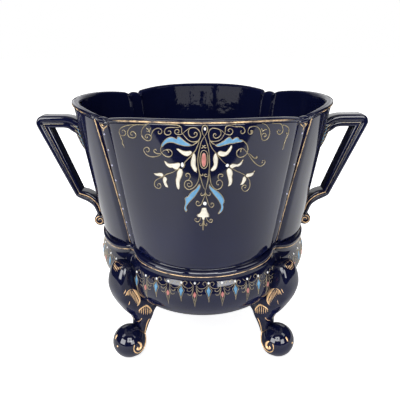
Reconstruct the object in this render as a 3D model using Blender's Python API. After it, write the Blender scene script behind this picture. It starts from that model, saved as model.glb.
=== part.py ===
"""Four-lobed glazed cachepot with two angular handles and four scroll feet, one fired piece.

Metres, +Z up. The origin is on the floor under the middle of the pot, the handles lie along X,
and -Y is the front. Every level of the pot is one closed outline of four lobes and four ribs.
"""
import math

import bmesh
import bpy
from mathutils import Matrix, Vector

# Rim: radii run from the axis, "notch" is the radius of the two notches beside a rib
HEIGHT = 0.2434
RIM_RADIUS = 0.1208
RIM_NOTCH = 0.1140
RIM_CROWN = 0.0050
NOTCH_FALL = 0.0020
BEAD_HEIGHT = 0.0034
BEAD_PROUD = 0.0013
LIP_ROUNDING = 0.0014

# Pot wall, and the ribs in its four corners
WALL = 0.0060
RIB_TOP_WIDTH = 0.0142
RIB_FOOT_WIDTH = 0.0098
RIB_DOME = 0.0022
NOTCH_DEPTH = 0.0013

# Foot of the panels, and the roll below them
WAIST_HEIGHT = 0.1140
WAIST_RADIUS = 0.1032
WAIST_NOTCH = 0.0932
WAIST_LIFT = 0.0032
RING_HEIGHT = 0.1102
RING_RADIUS = 0.1050
RING_NOTCH = 0.0978
RING_CLEFT = 0.0046
RING_THICKNESS = 0.0064
RING_LIFT = 0.0055
VALLEY_WIDTH = 0.0040

# Bulb: a lobed squat bowl whose section is an ellipse round a flat underside
BULB_HEIGHT = 0.0878
BULB_RADIUS = 0.1070
BULB_FLAT = 0.0505
BULB_DEPTH = 0.0415
BULB_LOBING = 0.065
FLOOR_THICKNESS = 0.0065

# Handles: an angular bar, a leaf at its upper root and a curl at its lower end
HANDLE_DROP = 0.0168
HANDLE_REACH = 0.0345
HANDLE_BAR = 0.0118
HANDLE_SLIM_BAR = 0.0078
HANDLE_LOWER_ARM = 0.0096
HANDLE_THICKNESS = 0.0170
CORNER_ROUNDING = 0.0022
ROOT_LENGTH = 0.0165
ROOT_DIP = 0.0085
ELBOW_DROP = 0.0745
ELBOW_OUT = 0.0200
LEAF_LENGTH = 0.0300
LEAF_DEPTH = 0.0102
LEAF_TIP = 0.0016
LEAF_THINNING = 0.64
CURL_RADIUS = 0.0061
CURL_HEIGHT = 0.1164
CURL_OUT = 0.0050

# Legs, on the diagonals: radii run from the axis, out along the diagonal
KNEE_RADIUS = 0.1178
KNEE_WIDTH = 0.0240
ANKLE_RADIUS = 0.0958
ANKLE_HEIGHT = 0.0300
ANKLE_DEPTH = 0.0130
ANKLE_WIDTH = 0.0160
BALL_RADIUS = 0.0163
BALL_SPREAD = 0.1041
BALL_FLAT_RADIUS = 0.0040
VOLUTE_RADIUS = 0.0095
VOLUTE_WIDTH = 0.0246

LOBE_STEPS = 12
RIB_STEPS = 5
BULB_STEPS = 9

# Share of a lobe's half width where its edge starts to round off, on the wall and on the ring
EDGE_START = 0.86
RING_EDGE_START = 0.72
CROWN_POWER = 3
STEP_CROWDING = 1.5


def clear_scene():
    for item in list(bpy.data.objects):
        bpy.data.objects.remove(item, do_unlink=True)


def glaze_material():
    glaze = bpy.data.materials.new("cobalt_glaze")
    glaze.use_nodes = True
    shader = glaze.node_tree.nodes["Principled BSDF"]
    shader.inputs["Base Color"].default_value = (0.006, 0.008, 0.042, 1.0)
    shader.inputs["Roughness"].default_value = 0.12
    shader.inputs["Metallic"].default_value = 0.0
    return glaze


def mix(low, high, share):
    return low + (high - low) * share


def level(radius, notch, height, lift=0.0, rib_width=VALLEY_WIDTH, rib_bulge=0.05, depth=0.0,
          dome=0.0, fall=0.0, edge_start=EDGE_START):
    """One outline: its size at the middle of a lobe and at the notches, and how high the notches lie.

    A level with no rib has a narrow rounded valley in its place.
    """
    return {"radius": radius, "notch": notch, "height": height, "lift": lift,
            "rib_width": rib_width, "rib_bulge": rib_bulge, "depth": depth, "dome": dome,
            "fall": fall, "edge_start": edge_start}


def outline(line):
    """Points of a level, anticlockwise from the front lobe's left end."""
    across = line["notch"] * math.sqrt(0.5) - line["rib_width"] * math.sqrt(0.125)
    out = line["notch"] * math.sqrt(0.5) + line["rib_width"] * math.sqrt(0.125)
    rise = line["radius"] - out
    arc_radius = (across ** 2 + rise ** 2) / (2 * rise)
    arc_half = math.atan2(across, arc_radius - rise)
    notch_height = line["height"] + line["lift"] - line["fall"]
    edge_start = line["edge_start"]
    points = []
    for quarter in range(4):
        lobe_turn = Matrix.Rotation(math.radians(-90 + 90 * quarter), 4, "Z")
        for step in range(LOBE_STEPS):
            even = 2 * step / LOBE_STEPS - 1
            share = math.copysign(1 - (1 - abs(even)) ** STEP_CROWDING, even)
            edge = max(0.0, (abs(share) - edge_start) / (1 - edge_start)) ** 2
            inward = edge * line["depth"] * math.sqrt(0.5)
            point = Vector((line["radius"] - arc_radius + arc_radius * math.cos(share * arc_half) - inward,
                            arc_radius * math.sin(share * arc_half) - math.copysign(inward, share),
                            line["height"] + line["lift"] * abs(share) ** CROWN_POWER
                            - line["fall"] * edge))
            points.append(lobe_turn @ point)
        rib_turn = Matrix.Rotation(math.radians(-45 + 90 * quarter), 4, "Z")
        for step in range(RIB_STEPS):
            turn = math.pi * (step / RIB_STEPS - 0.5)
            point = Vector((line["notch"] - line["depth"]
                            + line["rib_bulge"] * line["rib_width"] * math.cos(turn),
                            line["rib_width"] / 2 * math.sin(turn),
                            notch_height + line["dome"] * math.cos(turn) ** 2))
            points.append(rib_turn @ point)
    return points


def loft(name, outlines):
    """A closed skin through outlines that all have the same number of points."""
    mesh = bmesh.new()
    order = mesh.verts.layers.int.new("order")
    first = bmesh.ops.create_circle(mesh, cap_ends=True, segments=len(outlines[0]), radius=1.0)
    for index, vert in enumerate(first["verts"]):
        vert[order] = index
        vert.co = outlines[0][index]
    start_face = list(mesh.faces)
    edges = list(mesh.edges)
    for points in outlines[1:]:
        grown = bmesh.ops.extrude_edge_only(mesh, edges=edges)["geom"]
        for item in grown:
            if isinstance(item, bmesh.types.BMVert):
                item.co = points[item[order]]
        edges = [item for item in grown if isinstance(item, bmesh.types.BMEdge)
                 and len(item.link_faces) == 1]
    end_face = bmesh.ops.contextual_create(mesh, geom=edges)["faces"]
    bmesh.ops.poke(mesh, faces=start_face + list(end_face))
    bmesh.ops.recalc_face_normals(mesh, faces=mesh.faces[:])
    return add_object(name, mesh)


def add_object(name, mesh):
    data = bpy.data.meshes.new(name)
    mesh.to_mesh(data)
    mesh.free()
    thing = bpy.data.objects.new(name, data)
    bpy.context.scene.collection.objects.link(thing)
    return thing


def taper(height):
    """Share of the way up the pot's wall, from the waist to the foot of the rim's bead."""
    return (height - WAIST_HEIGHT) / (HEIGHT - BEAD_HEIGHT - WAIST_HEIGHT)


def wall_radius(height):
    return mix(WAIST_RADIUS, RIM_RADIUS - BEAD_PROUD, taper(height))


def wall_notch(height):
    return mix(WAIST_NOTCH, RIM_NOTCH - BEAD_PROUD, taper(height))


def wall_level(height, crown, outward=0.0, rib_bulge=0.12, depth=NOTCH_DEPTH, dome=0.0):
    share = taper(height)
    return level(wall_radius(height) + outward, wall_notch(height) + outward, height, lift=-crown,
                 rib_width=mix(RIB_FOOT_WIDTH, RIB_TOP_WIDTH, share), rib_bulge=rib_bulge,
                 depth=depth, dome=dome, fall=NOTCH_FALL * max(0.0, share) ** 4)


def bulb_level(turn, inset=0.0, lift=0.0):
    """A level of the bulb's ellipse, turn measured up from its widest level."""
    radius = BULB_FLAT + (BULB_RADIUS - BULB_FLAT - inset) * math.cos(turn)
    lobing = BULB_LOBING * max(0.0, math.cos(turn)) ** 0.8
    depth = BULB_DEPTH - (inset * FLOOR_THICKNESS / WALL)
    return level(radius, radius * (1 - lobing), BULB_HEIGHT + depth * math.sin(turn), lift=lift,
                 rib_width=VALLEY_WIDTH * (1 + math.cos(turn)))


def outer_levels():
    levels = []
    shoulder = math.radians(21)
    for step in range(BULB_STEPS):
        turn = mix(math.radians(-90), shoulder, step / (BULB_STEPS - 1))
        levels.append(bulb_level(turn, lift=RING_LIFT * max(0.0, turn / shoulder)))
    for turn in (-80, -35, 20, 70):
        angle = math.radians(turn)
        levels.append(level(RING_RADIUS + RING_THICKNESS / 2 * (math.cos(angle) - 1),
                            RING_NOTCH + RING_THICKNESS / 2 * (math.cos(angle) - 1),
                            RING_HEIGHT + RING_THICKNESS / 2 * math.sin(angle), lift=RING_LIFT,
                            depth=RING_CLEFT, edge_start=RING_EDGE_START))
    levels.append(wall_level(WAIST_HEIGHT, -WAIST_LIFT, outward=-0.0014))
    levels.append(wall_level(WAIST_HEIGHT + 0.0024, -WAIST_LIFT / 2))
    for share in (0.35, 0.7):
        height = mix(WAIST_HEIGHT, HEIGHT - BEAD_HEIGHT, share)
        levels.append(wall_level(height, RIM_CROWN * share))
    bead_foot = HEIGHT - BEAD_HEIGHT
    levels.append(wall_level(bead_foot, RIM_CROWN))
    levels.append(wall_level(bead_foot + BEAD_HEIGHT * 0.25, RIM_CROWN, outward=BEAD_PROUD))
    levels.append(wall_level(HEIGHT - LIP_ROUNDING, RIM_CROWN, outward=BEAD_PROUD, dome=RIB_DOME / 2))
    levels.append(wall_level(HEIGHT, RIM_CROWN, outward=-WALL * 0.40, dome=RIB_DOME))
    return levels


def inner_levels():
    """The inside follows the outside a wall's thickness away, down into the bulb."""
    soft = {"rib_bulge": 0.08, "depth": NOTCH_DEPTH * 0.6}
    levels = [wall_level(HEIGHT - LIP_ROUNDING, RIM_CROWN, outward=-WALL, dome=RIB_DOME / 2, **soft)]
    for share in (0.6, 0.25):
        height = mix(WAIST_HEIGHT, HEIGHT, share)
        levels.append(wall_level(height, RIM_CROWN * share, outward=-WALL, **soft))
    levels.append(wall_level(WAIST_HEIGHT + 0.003, 0.0, outward=-WALL - 0.0020, **soft))
    levels.append(level(RING_RADIUS - WALL - 0.0025, RING_NOTCH - RING_CLEFT - WALL, RING_HEIGHT - 0.002,
                        lift=RING_LIFT / 2))
    for turn in (12, -8, -28, -46, -64, -90):
        levels.append(bulb_level(math.radians(turn), inset=WALL))
    return levels


def pot():
    return loft("cachepot", [outline(line) for line in outer_levels() + inner_levels()])


def smooth_path(keys, steps):
    """Catmull-Rom curve through the keys, each a Vector of any size."""
    points = []
    padded = [keys[0] * 2 - keys[1]] + list(keys) + [keys[-1] * 2 - keys[-2]]
    for before, start, end, after in zip(padded, padded[1:], padded[2:], padded[3:]):
        for step in range(steps):
            t = step / steps
            points.append(0.5 * (start * 2 + (end - before) * t
                                 + (before * 2 - start * 5 + end * 4 - after) * t ** 2
                                 + (start * 3 - before - end * 3 + after) * t ** 3))
    points.append(keys[-1].copy())
    return points


def round_corner(before, corner, after, radius, steps=4):
    """Points of a fillet at a corner, in the plane of the three points."""
    into = (corner - before).normalized()
    away = (after - corner).normalized()
    bend = into.angle(away)
    setback = radius * math.tan(bend / 2)
    start = corner - into * setback
    end = corner + away * setback
    points = []
    for step in range(steps + 1):
        t = step / steps
        points.append(start * (1 - t) ** 2 + corner * 2 * t * (1 - t) + end * t ** 2)
    return points


def handle_line():
    """Middle line of the bar from the pot's wall round to the curl: (x, z, bar depth)."""
    top = HEIGHT - HANDLE_DROP - HANDLE_BAR / 2
    corner_x = RIM_RADIUS + HANDLE_REACH
    elbow_z = top - ELBOW_DROP
    elbow_x = wall_radius(elbow_z) + ELBOW_OUT
    root_x = wall_radius(top)
    root = [Vector((root_x - WALL * 0.5, top - ROOT_DIP, HANDLE_BAR * 1.15)),
            Vector((root_x + ROOT_LENGTH * 0.30, top - ROOT_DIP * 0.55, HANDLE_BAR * 1.08)),
            Vector((root_x + ROOT_LENGTH * 0.62, top - ROOT_DIP * 0.16, HANDLE_BAR)),
            Vector((root_x + ROOT_LENGTH, top, HANDLE_BAR))]
    corner = Vector((corner_x, top, HANDLE_BAR))
    elbow = Vector((elbow_x, elbow_z, HANDLE_SLIM_BAR))
    end_z = CURL_HEIGHT + CURL_RADIUS * 1.2
    end = Vector((wall_radius(end_z) + CURL_OUT - 0.0022, end_z, CURL_RADIUS * 1.1))
    drop = elbow_z - end_z
    arm = [Vector((elbow_x - 0.0045, elbow_z - drop * 0.08, HANDLE_LOWER_ARM)),
           Vector((mix(end.x, elbow_x, 0.50), elbow_z - drop * 0.20, HANDLE_LOWER_ARM)),
           Vector((mix(end.x, elbow_x, 0.17), elbow_z - drop * 0.50, HANDLE_LOWER_ARM * 0.86)),
           end]
    line = smooth_path(root, 2)
    line += round_corner(root[-1], corner, elbow, CORNER_ROUNDING)
    line += [mix(corner, elbow, 0.34), mix(corner, elbow, 0.67)]
    line += round_corner(corner, elbow, arm[0], CORNER_ROUNDING, 3)
    line += smooth_path(arm, 2)[1:]
    return line


def bar_sections(line, side):
    """Moulded section of the bar: a broad outer band, a groove, then a narrower inner ridge."""
    half = HANDLE_THICKNESS / 2
    moulding = [(0.0, 0.70), (0.14, 0.98), (0.42, 1.0), (0.52, 0.84), (0.66, 0.94), (0.92, 0.92),
                (1.0, 0.78)]
    shape = moulding + [(across, -width) for across, width in reversed(moulding)]
    sections = []
    for index, point in enumerate(line):
        ahead = line[min(index + 1, len(line) - 1)] - line[min(index, len(line) - 2)]
        behind = line[max(index, 1)] - line[max(index - 1, 0)]
        along = (ahead.xy.normalized() + behind.xy.normalized()).normalized()
        mitre = 1 / along.dot(ahead.xy.normalized())
        outward = Vector((-along.y, along.x)) * mitre
        slim = mix(1.0, 0.86, index / (len(line) - 1))
        section = []
        for across, width in shape:
            shift = (0.5 - across) * point.z
            section.append(Vector((side * (point.x + outward.x * shift), width * half * slim,
                                   point.y + outward.y * shift)))
        sections.append(section)
    return sections


def handle(side):
    line = handle_line()
    bar = loft("handle_bar", bar_sections(line, side))
    top = HEIGHT - HANDLE_DROP
    leaf = handle_leaf(side, top - HANDLE_BAR * 0.7)
    curl_x = side * (wall_radius(CURL_HEIGHT) + CURL_OUT)
    curl = cross_roll("handle_curl", (curl_x, 0, CURL_HEIGHT), CURL_RADIUS,
                      HANDLE_THICKNESS * 0.88, 12)
    return [bar, leaf, curl]


def handle_leaf(side, top):
    """Carved leaf that runs from the bar's root down the pot's wall to a point."""
    stations = 5
    sections = []
    for step in range(stations + 1):
        share = step / stations
        height = top - LEAF_LENGTH * share
        wall = wall_radius(height)
        depth = max(LEAF_TIP, LEAF_DEPTH * (1 - LEAF_THINNING * share) * math.sqrt(1 - share ** 8))
        half = mix(HANDLE_THICKNESS / 2, LEAF_TIP, share ** 4)
        sections.append([Vector((side * (wall + out), across * half, height)) for out, across in
                         ((-WALL / 2, -0.8), (-WALL / 2, 0.8), (depth * 0.55, 1.0), (depth * 0.94, 0.84),
                          (depth, 0.42), (depth * 0.88, 0.0), (depth, -0.42), (depth * 0.94, -0.84),
                          (depth * 0.55, -1.0))])
    return loft("handle_leaf", sections)


def cross_roll(name, centre, radius, width, sides):
    """A short round bar lying across, with rounded ends, its axis along Y."""
    mesh = bmesh.new()
    bmesh.ops.create_cone(mesh, cap_ends=True, segments=sides, radius1=radius, radius2=radius,
                          depth=width)
    rims = [edge for edge in mesh.edges if edge.calc_face_angle(0) > 1]
    bmesh.ops.bevel(mesh, geom=rims, offset=radius * 0.22, segments=1, profile=0.5,
                    affect="EDGES", material=-1)
    bmesh.ops.transform(mesh, matrix=Matrix.Translation(centre) @ Matrix.Rotation(math.pi / 2, 4, "X"),
                        verts=mesh.verts)
    return add_object(name, mesh)


def bulb_corner(height):
    """Radius of the bulb's outside on a diagonal, at a height."""
    sine = max(-1.0, min(0.98, (height - BULB_HEIGHT) / BULB_DEPTH))
    cosine = math.sqrt(1 - sine ** 2)
    radius = BULB_FLAT + (BULB_RADIUS - BULB_FLAT) * cosine
    return radius * (1 - BULB_LOBING * cosine ** 0.8)


def leg_stations():
    """Front and back edge of the leg in its own upright plane, with the width there.

    The width has three steps, the knee and two leaves below it, over a plain shank.
    """
    under = BULB_HEIGHT - BULB_DEPTH
    knee = BULB_HEIGHT
    shoulder = knee + 0.0180
    inside = WALL * 0.55

    def front(share):
        return mix(under + 0.006, shoulder, share)

    keys = [
        (KNEE_RADIUS - 0.0170, shoulder - 0.0006, shoulder - 0.0050, 0.56),
        (KNEE_RADIUS - 0.0090, shoulder, shoulder - 0.0100, 0.82),
        (KNEE_RADIUS - 0.0026, front(0.82), shoulder - 0.0180, 0.97),
        (KNEE_RADIUS, front(0.60), knee - 0.0080, 1.0),
        (KNEE_RADIUS - 0.0012, front(0.42), knee - 0.0170, 0.86),
        (KNEE_RADIUS - 0.0046, front(0.26), knee - 0.0245, 0.92),
        (KNEE_RADIUS - 0.0094, front(0.08), knee - 0.0305, 0.86),
        (KNEE_RADIUS - 0.0138, under + 0.0030, knee - 0.0355, 0.70),
        (KNEE_RADIUS - 0.0176, under - 0.0020, under + 0.0030, 0.76),
    ]
    stations = []
    for radius, front_height, back_height, width in keys:
        back = bulb_corner(max(back_height, under + 0.0030)) - inside
        stations.append((Vector((radius, front_height)), Vector((back, back_height)),
                         width * KNEE_WIDTH / 2))
    shank_top = under - 0.0065
    stations.append((Vector((ANKLE_RADIUS + 0.0022, shank_top)),
                     Vector((ANKLE_RADIUS - 0.0212, under - 0.0045)), ANKLE_WIDTH * 0.56))
    for share, depth in ((0.45, 0.0180), (1.0, ANKLE_DEPTH), (1.5, 0.0098)):
        drop = (shank_top - ANKLE_HEIGHT) * share
        height = shank_top - drop
        stations.append((Vector((ANKLE_RADIUS + 0.0012 * (share - 1) ** 2, height)),
                         Vector((ANKLE_RADIUS - depth, height - 0.0015 * share)), ANKLE_WIDTH / 2))
    stations.append((Vector((BALL_SPREAD - 0.0040, BALL_RADIUS * 1.05)),
                     Vector((BALL_SPREAD - BALL_RADIUS * 0.88, BALL_RADIUS * 0.80)),
                     ANKLE_WIDTH * 0.46))
    return stations


def leg_sections():
    shape = [(0.0, 0.44), (0.08, 0.84), (0.26, 1.0), (0.62, 1.0), (0.92, 0.86), (1.0, 0.60)]
    shape = shape + [(depth, -width) for depth, width in reversed(shape)]
    sections = []
    for front, back, half in leg_stations():
        section = []
        for depth, width in shape:
            point = front.lerp(back, depth)
            section.append(Vector((point.x, width * half, point.y)))
        sections.append(section)
    return sections


def ball_foot():
    """The ball, cut flat below where it stands."""
    mesh = bmesh.new()
    sink = BALL_RADIUS - math.sqrt(BALL_RADIUS ** 2 - BALL_FLAT_RADIUS ** 2)
    bmesh.ops.create_uvsphere(mesh, u_segments=16, v_segments=10, radius=BALL_RADIUS)
    bmesh.ops.translate(mesh, verts=mesh.verts, vec=(BALL_SPREAD, 0, BALL_RADIUS - sink))
    geometry = mesh.verts[:] + mesh.edges[:] + mesh.faces[:]
    cut = bmesh.ops.bisect_plane(mesh, geom=geometry, plane_co=(0, 0, 0), plane_no=(0, 0, -1),
                                 clear_outer=True)["geom_cut"]
    bmesh.ops.contextual_create(mesh, geom=[item for item in cut
                                            if isinstance(item, bmesh.types.BMEdge)])
    return add_object("ball_foot", mesh)


def leg():
    shank = loft("leg_shank", leg_sections())
    ball = ball_foot()
    volute = cross_roll("foot_volute", (BALL_SPREAD - 0.0014, 0, BALL_RADIUS * 0.78), VOLUTE_RADIUS,
                        VOLUTE_WIDTH, 16)
    return [shank, ball, volute]


def join_solids(target, tools):
    """Adds each tool to the target with a live Boolean, and hides the tool."""
    for tool in tools:
        joint = target.modifiers.new(tool.name, "BOOLEAN")
        joint.operation = "UNION"
        joint.solver = "EXACT"
        joint.object = tool
        tool.hide_render = True
        tool.display_type = "WIRE"


def main():
    clear_scene()
    body = pot()
    parts = []
    for side in (1, -1):
        parts += handle(side)
    for quarter in range(4):
        turn = Matrix.Rotation(math.radians(45 + 90 * quarter), 4, "Z")
        for piece in leg():
            piece.matrix_world = turn
            parts.append(piece)
    join_solids(body, parts)
    body.data.materials.append(glaze_material())


main()
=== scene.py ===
import math

import bmesh
import bpy
from mathutils import Matrix, Vector
from mathutils.bvhtree import BVHTree


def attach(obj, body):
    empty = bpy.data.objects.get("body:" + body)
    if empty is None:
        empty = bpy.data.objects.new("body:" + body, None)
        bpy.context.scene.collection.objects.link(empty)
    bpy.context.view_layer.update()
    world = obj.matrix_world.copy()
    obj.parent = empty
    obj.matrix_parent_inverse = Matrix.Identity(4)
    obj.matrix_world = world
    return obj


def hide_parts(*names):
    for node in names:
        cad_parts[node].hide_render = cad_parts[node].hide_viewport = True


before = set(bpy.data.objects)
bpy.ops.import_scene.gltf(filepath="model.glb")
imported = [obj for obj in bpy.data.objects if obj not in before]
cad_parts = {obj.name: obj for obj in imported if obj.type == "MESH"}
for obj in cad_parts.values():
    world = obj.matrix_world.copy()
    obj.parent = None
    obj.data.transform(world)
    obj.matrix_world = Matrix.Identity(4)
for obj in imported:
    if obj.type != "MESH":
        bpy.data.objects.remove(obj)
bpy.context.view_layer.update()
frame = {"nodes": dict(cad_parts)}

print("frame loaded:", ", ".join(frame["nodes"]))

diagonal = math.sqrt(0.5)


def mix(low, high, share):
    return low + (high - low) * share


def smoothStep(low, high, value):
    share = min(1.0, max(0.0, (value - low) / (high - low)))
    return share * share * (3 - 2 * share)


# the pot's sizes, in metres, as in the solid, but with deeper creases beside rounder ribs
potShape = {
    "height": 0.2434, "rimRadius": 0.1208, "rimNotch": 0.1140, "rimCrown": 0.0050, "notchFall": 0.0020,
    "beadHeight": 0.0034, "beadProud": 0.0013, "wall": 0.0060,
    "ribTopWidth": 0.0142, "ribFootWidth": 0.0098, "ribBulge": 0.22, "ribDome": 0.0022,
    "notchDepth": 0.0036, "edgeStart": 0.945,
    "waistHeight": 0.1140, "waistRadius": 0.1032, "waistNotch": 0.0932, "waistLift": 0.0032,
    "ringHeight": 0.1102, "ringRadius": 0.1050, "ringNotch": 0.0978, "ringCleft": 0.0046,
    "ringThickness": 0.0064, "ringLift": 0.0055, "ringEdgeStart": 0.72, "valleyWidth": 0.0040,
    "bulbHeight": 0.0878, "bulbRadius": 0.1070, "bulbFlat": 0.0505, "bulbDepth": 0.0415,
    "bulbLobing": 0.065, "floorThickness": 0.0065,
    "insideDrop": 0.0030, "insideFoot": 0.0060, "insideRibBulge": 0.08,
    "lobeSteps": 44, "ribSteps": 16, "bulbSteps": 24, "ringSteps": 14, "wallSteps": 24,
    "insideWallSteps": 17, "insideBulbSteps": 15, "insideFloorBelow": 0.06,
}
# height over the waist and distance out from the wall
panelFoot = [(0.0002, -0.0018), (0.0006, -0.0012), (0.0012, -0.0005), (0.0020, -0.0001)]
# the groove, the gilt bead and the rounded lip: height over the bead's foot, distance out, share of the ribs' dome
rimProfile = [(-0.0006, 0.0, 0.0), (-0.0001, -0.0004, 0.0), (0.0003, 0.0002, 0.0), (0.0006, 0.0009, 0.1),
              (0.0010, 0.0012, 0.2), (0.0014, 0.0011, 0.3), (0.0017, 0.0007, 0.4), (0.0019, 0.0007, 0.5),
              (0.0023, 0.0010, 0.6), (0.0028, 0.0008, 0.8), (0.0032, 0.0001, 0.95), (0.0034, -0.0013, 1.0),
              (0.0034, -0.0028, 1.0), (0.0031, -0.0042, 0.9), (0.0025, -0.0053, 0.75), (0.0017, -0.0059, 0.5)]
beadFoot = potShape["height"] - potShape["beadHeight"]


def makeLevel(radius, notch, height, lift=0.0, ribWidth=None, ribBulge=0.05, depth=0.0, dome=0.0,
              fall=0.0, edgeStart=None):
    width = potShape["valleyWidth"] if ribWidth is None else ribWidth
    across = notch * diagonal - width * diagonal / 2
    rise = radius - (notch * diagonal + width * diagonal / 2)
    arcRadius = (across ** 2 + rise ** 2) / (2 * rise)
    return {"radius": radius, "notch": notch, "height": height, "lift": lift, "ribWidth": width,
            "ribBulge": ribBulge, "depth": depth, "dome": dome, "fall": fall,
            "edgeStart": potShape["edgeStart"] if edgeStart is None else edgeStart,
            "arcRadius": arcRadius, "arcHalf": math.atan2(across, arcRadius - rise)}


def lobePoint(level, share, quarter):   # share runs from -1 to 1 across one lobe
    edge = max(0.0, (abs(share) - level["edgeStart"]) / (1 - level["edgeStart"])) ** 2
    inward = edge * level["depth"] * diagonal
    turn = share * level["arcHalf"]
    point = Vector((level["radius"] - level["arcRadius"] * (1 - math.cos(turn)) - inward,
                    level["arcRadius"] * math.sin(turn) - math.copysign(inward, share),
                    level["height"] + level["lift"] * abs(share) ** 3 - level["fall"] * edge))
    return Matrix.Rotation(math.radians(90 * quarter - 90), 3, "Z") @ point


def ribPoint(level, turn, quarter):     # turn runs from -90 to 90 degrees over the rib
    point = Vector((level["notch"] - level["depth"] + level["ribBulge"] * level["ribWidth"] * math.cos(turn),
                    level["ribWidth"] / 2 * math.sin(turn),
                    level["height"] + level["lift"] - level["fall"] + level["dome"] * math.cos(turn) ** 2))
    return Matrix.Rotation(math.radians(90 * quarter - 45), 3, "Z") @ point


def levelPoints(level):
    points = []
    for quarter in range(4):
        for step in range(potShape["lobeSteps"]):
            even = 2 * step / potShape["lobeSteps"] - 1
            points.append(lobePoint(level, math.copysign(1 - (1 - abs(even)) ** 1.6, even), quarter))
        for step in range(potShape["ribSteps"]):
            points.append(ribPoint(level, math.pi * (step / potShape["ribSteps"] - 0.5), quarter))
    return points


def wallLevel(height, outward=0.0, **other):
    shape = potShape
    share = (height - shape["waistHeight"]) / (beadFoot - shape["waistHeight"])
    near = 1 - smoothStep(0.0, 0.007, height - shape["waistHeight"])
    values = {"ribWidth": mix(shape["ribFootWidth"], shape["ribTopWidth"], share),
              "ribBulge": shape["ribBulge"], "depth": shape["notchDepth"],
              "fall": shape["notchFall"] * max(0.0, share) ** 4}
    values.update(other)
    return makeLevel(mix(shape["waistRadius"], shape["rimRadius"] - shape["beadProud"], share) + outward,
                     mix(shape["waistNotch"], shape["rimNotch"] - shape["beadProud"], share) + outward,
                     height, lift=shape["waistLift"] * near - shape["rimCrown"] * max(0.0, share), **values)


def panelPoint(across, height, quarter=0, proud=0.0):   # by distance from the lobe's middle and true height
    level = wallLevel(height, outward=proud)
    for again in range(3):
        share = math.asin(max(-1.0, min(1.0, across / level["arcRadius"]))) / level["arcHalf"]
        level = wallLevel(height - level["lift"] * abs(share) ** 3, outward=proud)
    return lobePoint(level, share, quarter)


def bulbLevel(turn, inset=0.0, lift=0.0, outward=0.0):  # turn is measured up from the bulb's widest level
    shape = potShape
    cosine = max(0.0, math.cos(turn))
    radius = shape["bulbFlat"] + (shape["bulbRadius"] - shape["bulbFlat"] - inset + outward) * cosine
    lobing = shape["bulbLobing"] * cosine ** 0.8
    depth = shape["bulbDepth"] - inset * shape["floorThickness"] / shape["wall"] + outward
    return makeLevel(radius, radius * (1 - lobing), shape["bulbHeight"] + depth * math.sin(turn), lift=lift,
                     ribWidth=shape["valleyWidth"] * (1 + math.cos(turn)))


shoulderTurn = math.radians(21)


def bulbPoint(turn, share, quarter, proud=0.0):
    lift = potShape["ringLift"] * max(0.0, turn / shoulderTurn)
    return lobePoint(bulbLevel(turn, lift=lift, outward=proud), share, quarter)


def ringLevel(angle, outward=0.0):
    shape = potShape
    half = shape["ringThickness"] / 2
    grow = half * (math.cos(angle) - 1) + outward * math.cos(angle)
    return makeLevel(shape["ringRadius"] + grow, shape["ringNotch"] + grow,
                     shape["ringHeight"] + (half + outward) * math.sin(angle), lift=shape["ringLift"],
                     depth=shape["ringCleft"], edgeStart=shape["ringEdgeStart"])


def outerLevels():
    shape = potShape
    levels = []
    for step in range(shape["bulbSteps"] + 1):
        turn = mix(math.radians(-90), shoulderTurn, step / shape["bulbSteps"])
        levels.append(bulbLevel(turn, lift=shape["ringLift"] * max(0.0, turn / shoulderTurn)))
    for step in range(shape["ringSteps"] + 1):
        levels.append(ringLevel(math.radians(mix(-84, 84, step / shape["ringSteps"]))))
    levels += [wallLevel(shape["waistHeight"] + rise, outward=outward) for rise, outward in panelFoot]
    low = shape["waistHeight"] + panelFoot[-1][0]
    for step in range(1, shape["wallSteps"] + 1):
        levels.append(wallLevel(mix(low, beadFoot - 0.0011, step / shape["wallSteps"])))
    levels += [wallLevel(beadFoot + rise, outward=outward, dome=shape["ribDome"] * dome)
               for rise, outward, dome in rimProfile]
    return levels


def innerLevels():
    shape = potShape
    levels = []
    for step in range(shape["insideWallSteps"] + 1):
        share = step / shape["insideWallSteps"]
        height = mix(shape["height"] - shape["insideDrop"], shape["waistHeight"] + shape["insideFoot"], share)
        levels.append(wallLevel(height, outward=-shape["wall"], ribBulge=shape["insideRibBulge"],
                                depth=shape["notchDepth"] * 0.6, dome=shape["ribDome"] * 0.4 * (1 - share) ** 6))
    levels.append(wallLevel(shape["waistHeight"] + shape["insideFoot"] / 2, outward=-shape["wall"] - 0.0020,
                            ribBulge=shape["insideRibBulge"]))
    levels.append(makeLevel(shape["ringRadius"] - shape["wall"] - 0.0025,
                            shape["ringNotch"] - shape["ringCleft"] - shape["wall"],
                            shape["ringHeight"] - 0.0020, lift=shape["ringLift"] / 2))
    for step in range(shape["insideBulbSteps"] + 1):
        levels.append(bulbLevel(math.radians(mix(12, -90, step / shape["insideBulbSteps"])), inset=shape["wall"]))
    return levels


# one skin through outlines of as many points each
def loft(outlines):
    mesh = bmesh.new()
    order = mesh.verts.layers.int.new("order")
    first = bmesh.ops.create_circle(mesh, cap_ends=True, segments=len(outlines[0]), radius=1.0)
    for index, vert in enumerate(first["verts"]):
        vert[order] = index
        vert.co = outlines[0][index]
    capFaces = list(mesh.faces)
    edges = list(mesh.edges)
    for points in outlines[1:]:
        grown = bmesh.ops.extrude_edge_only(mesh, edges=edges)["geom"]
        for item in grown:
            if isinstance(item, bmesh.types.BMVert):
                item.co = points[item[order]]
        edges = [item for item in grown if isinstance(item, bmesh.types.BMEdge)
                 and len(item.link_faces) == 1]
    capFaces += bmesh.ops.contextual_create(mesh, geom=edges)["faces"]
    bmesh.ops.poke(mesh, faces=capFaces)
    bmesh.ops.recalc_face_normals(mesh, faces=mesh.faces[:])
    return mesh


def makeObject(name, data):
    made = bpy.data.objects.new(name, data)
    bpy.context.scene.collection.objects.link(made)
    return made


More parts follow.
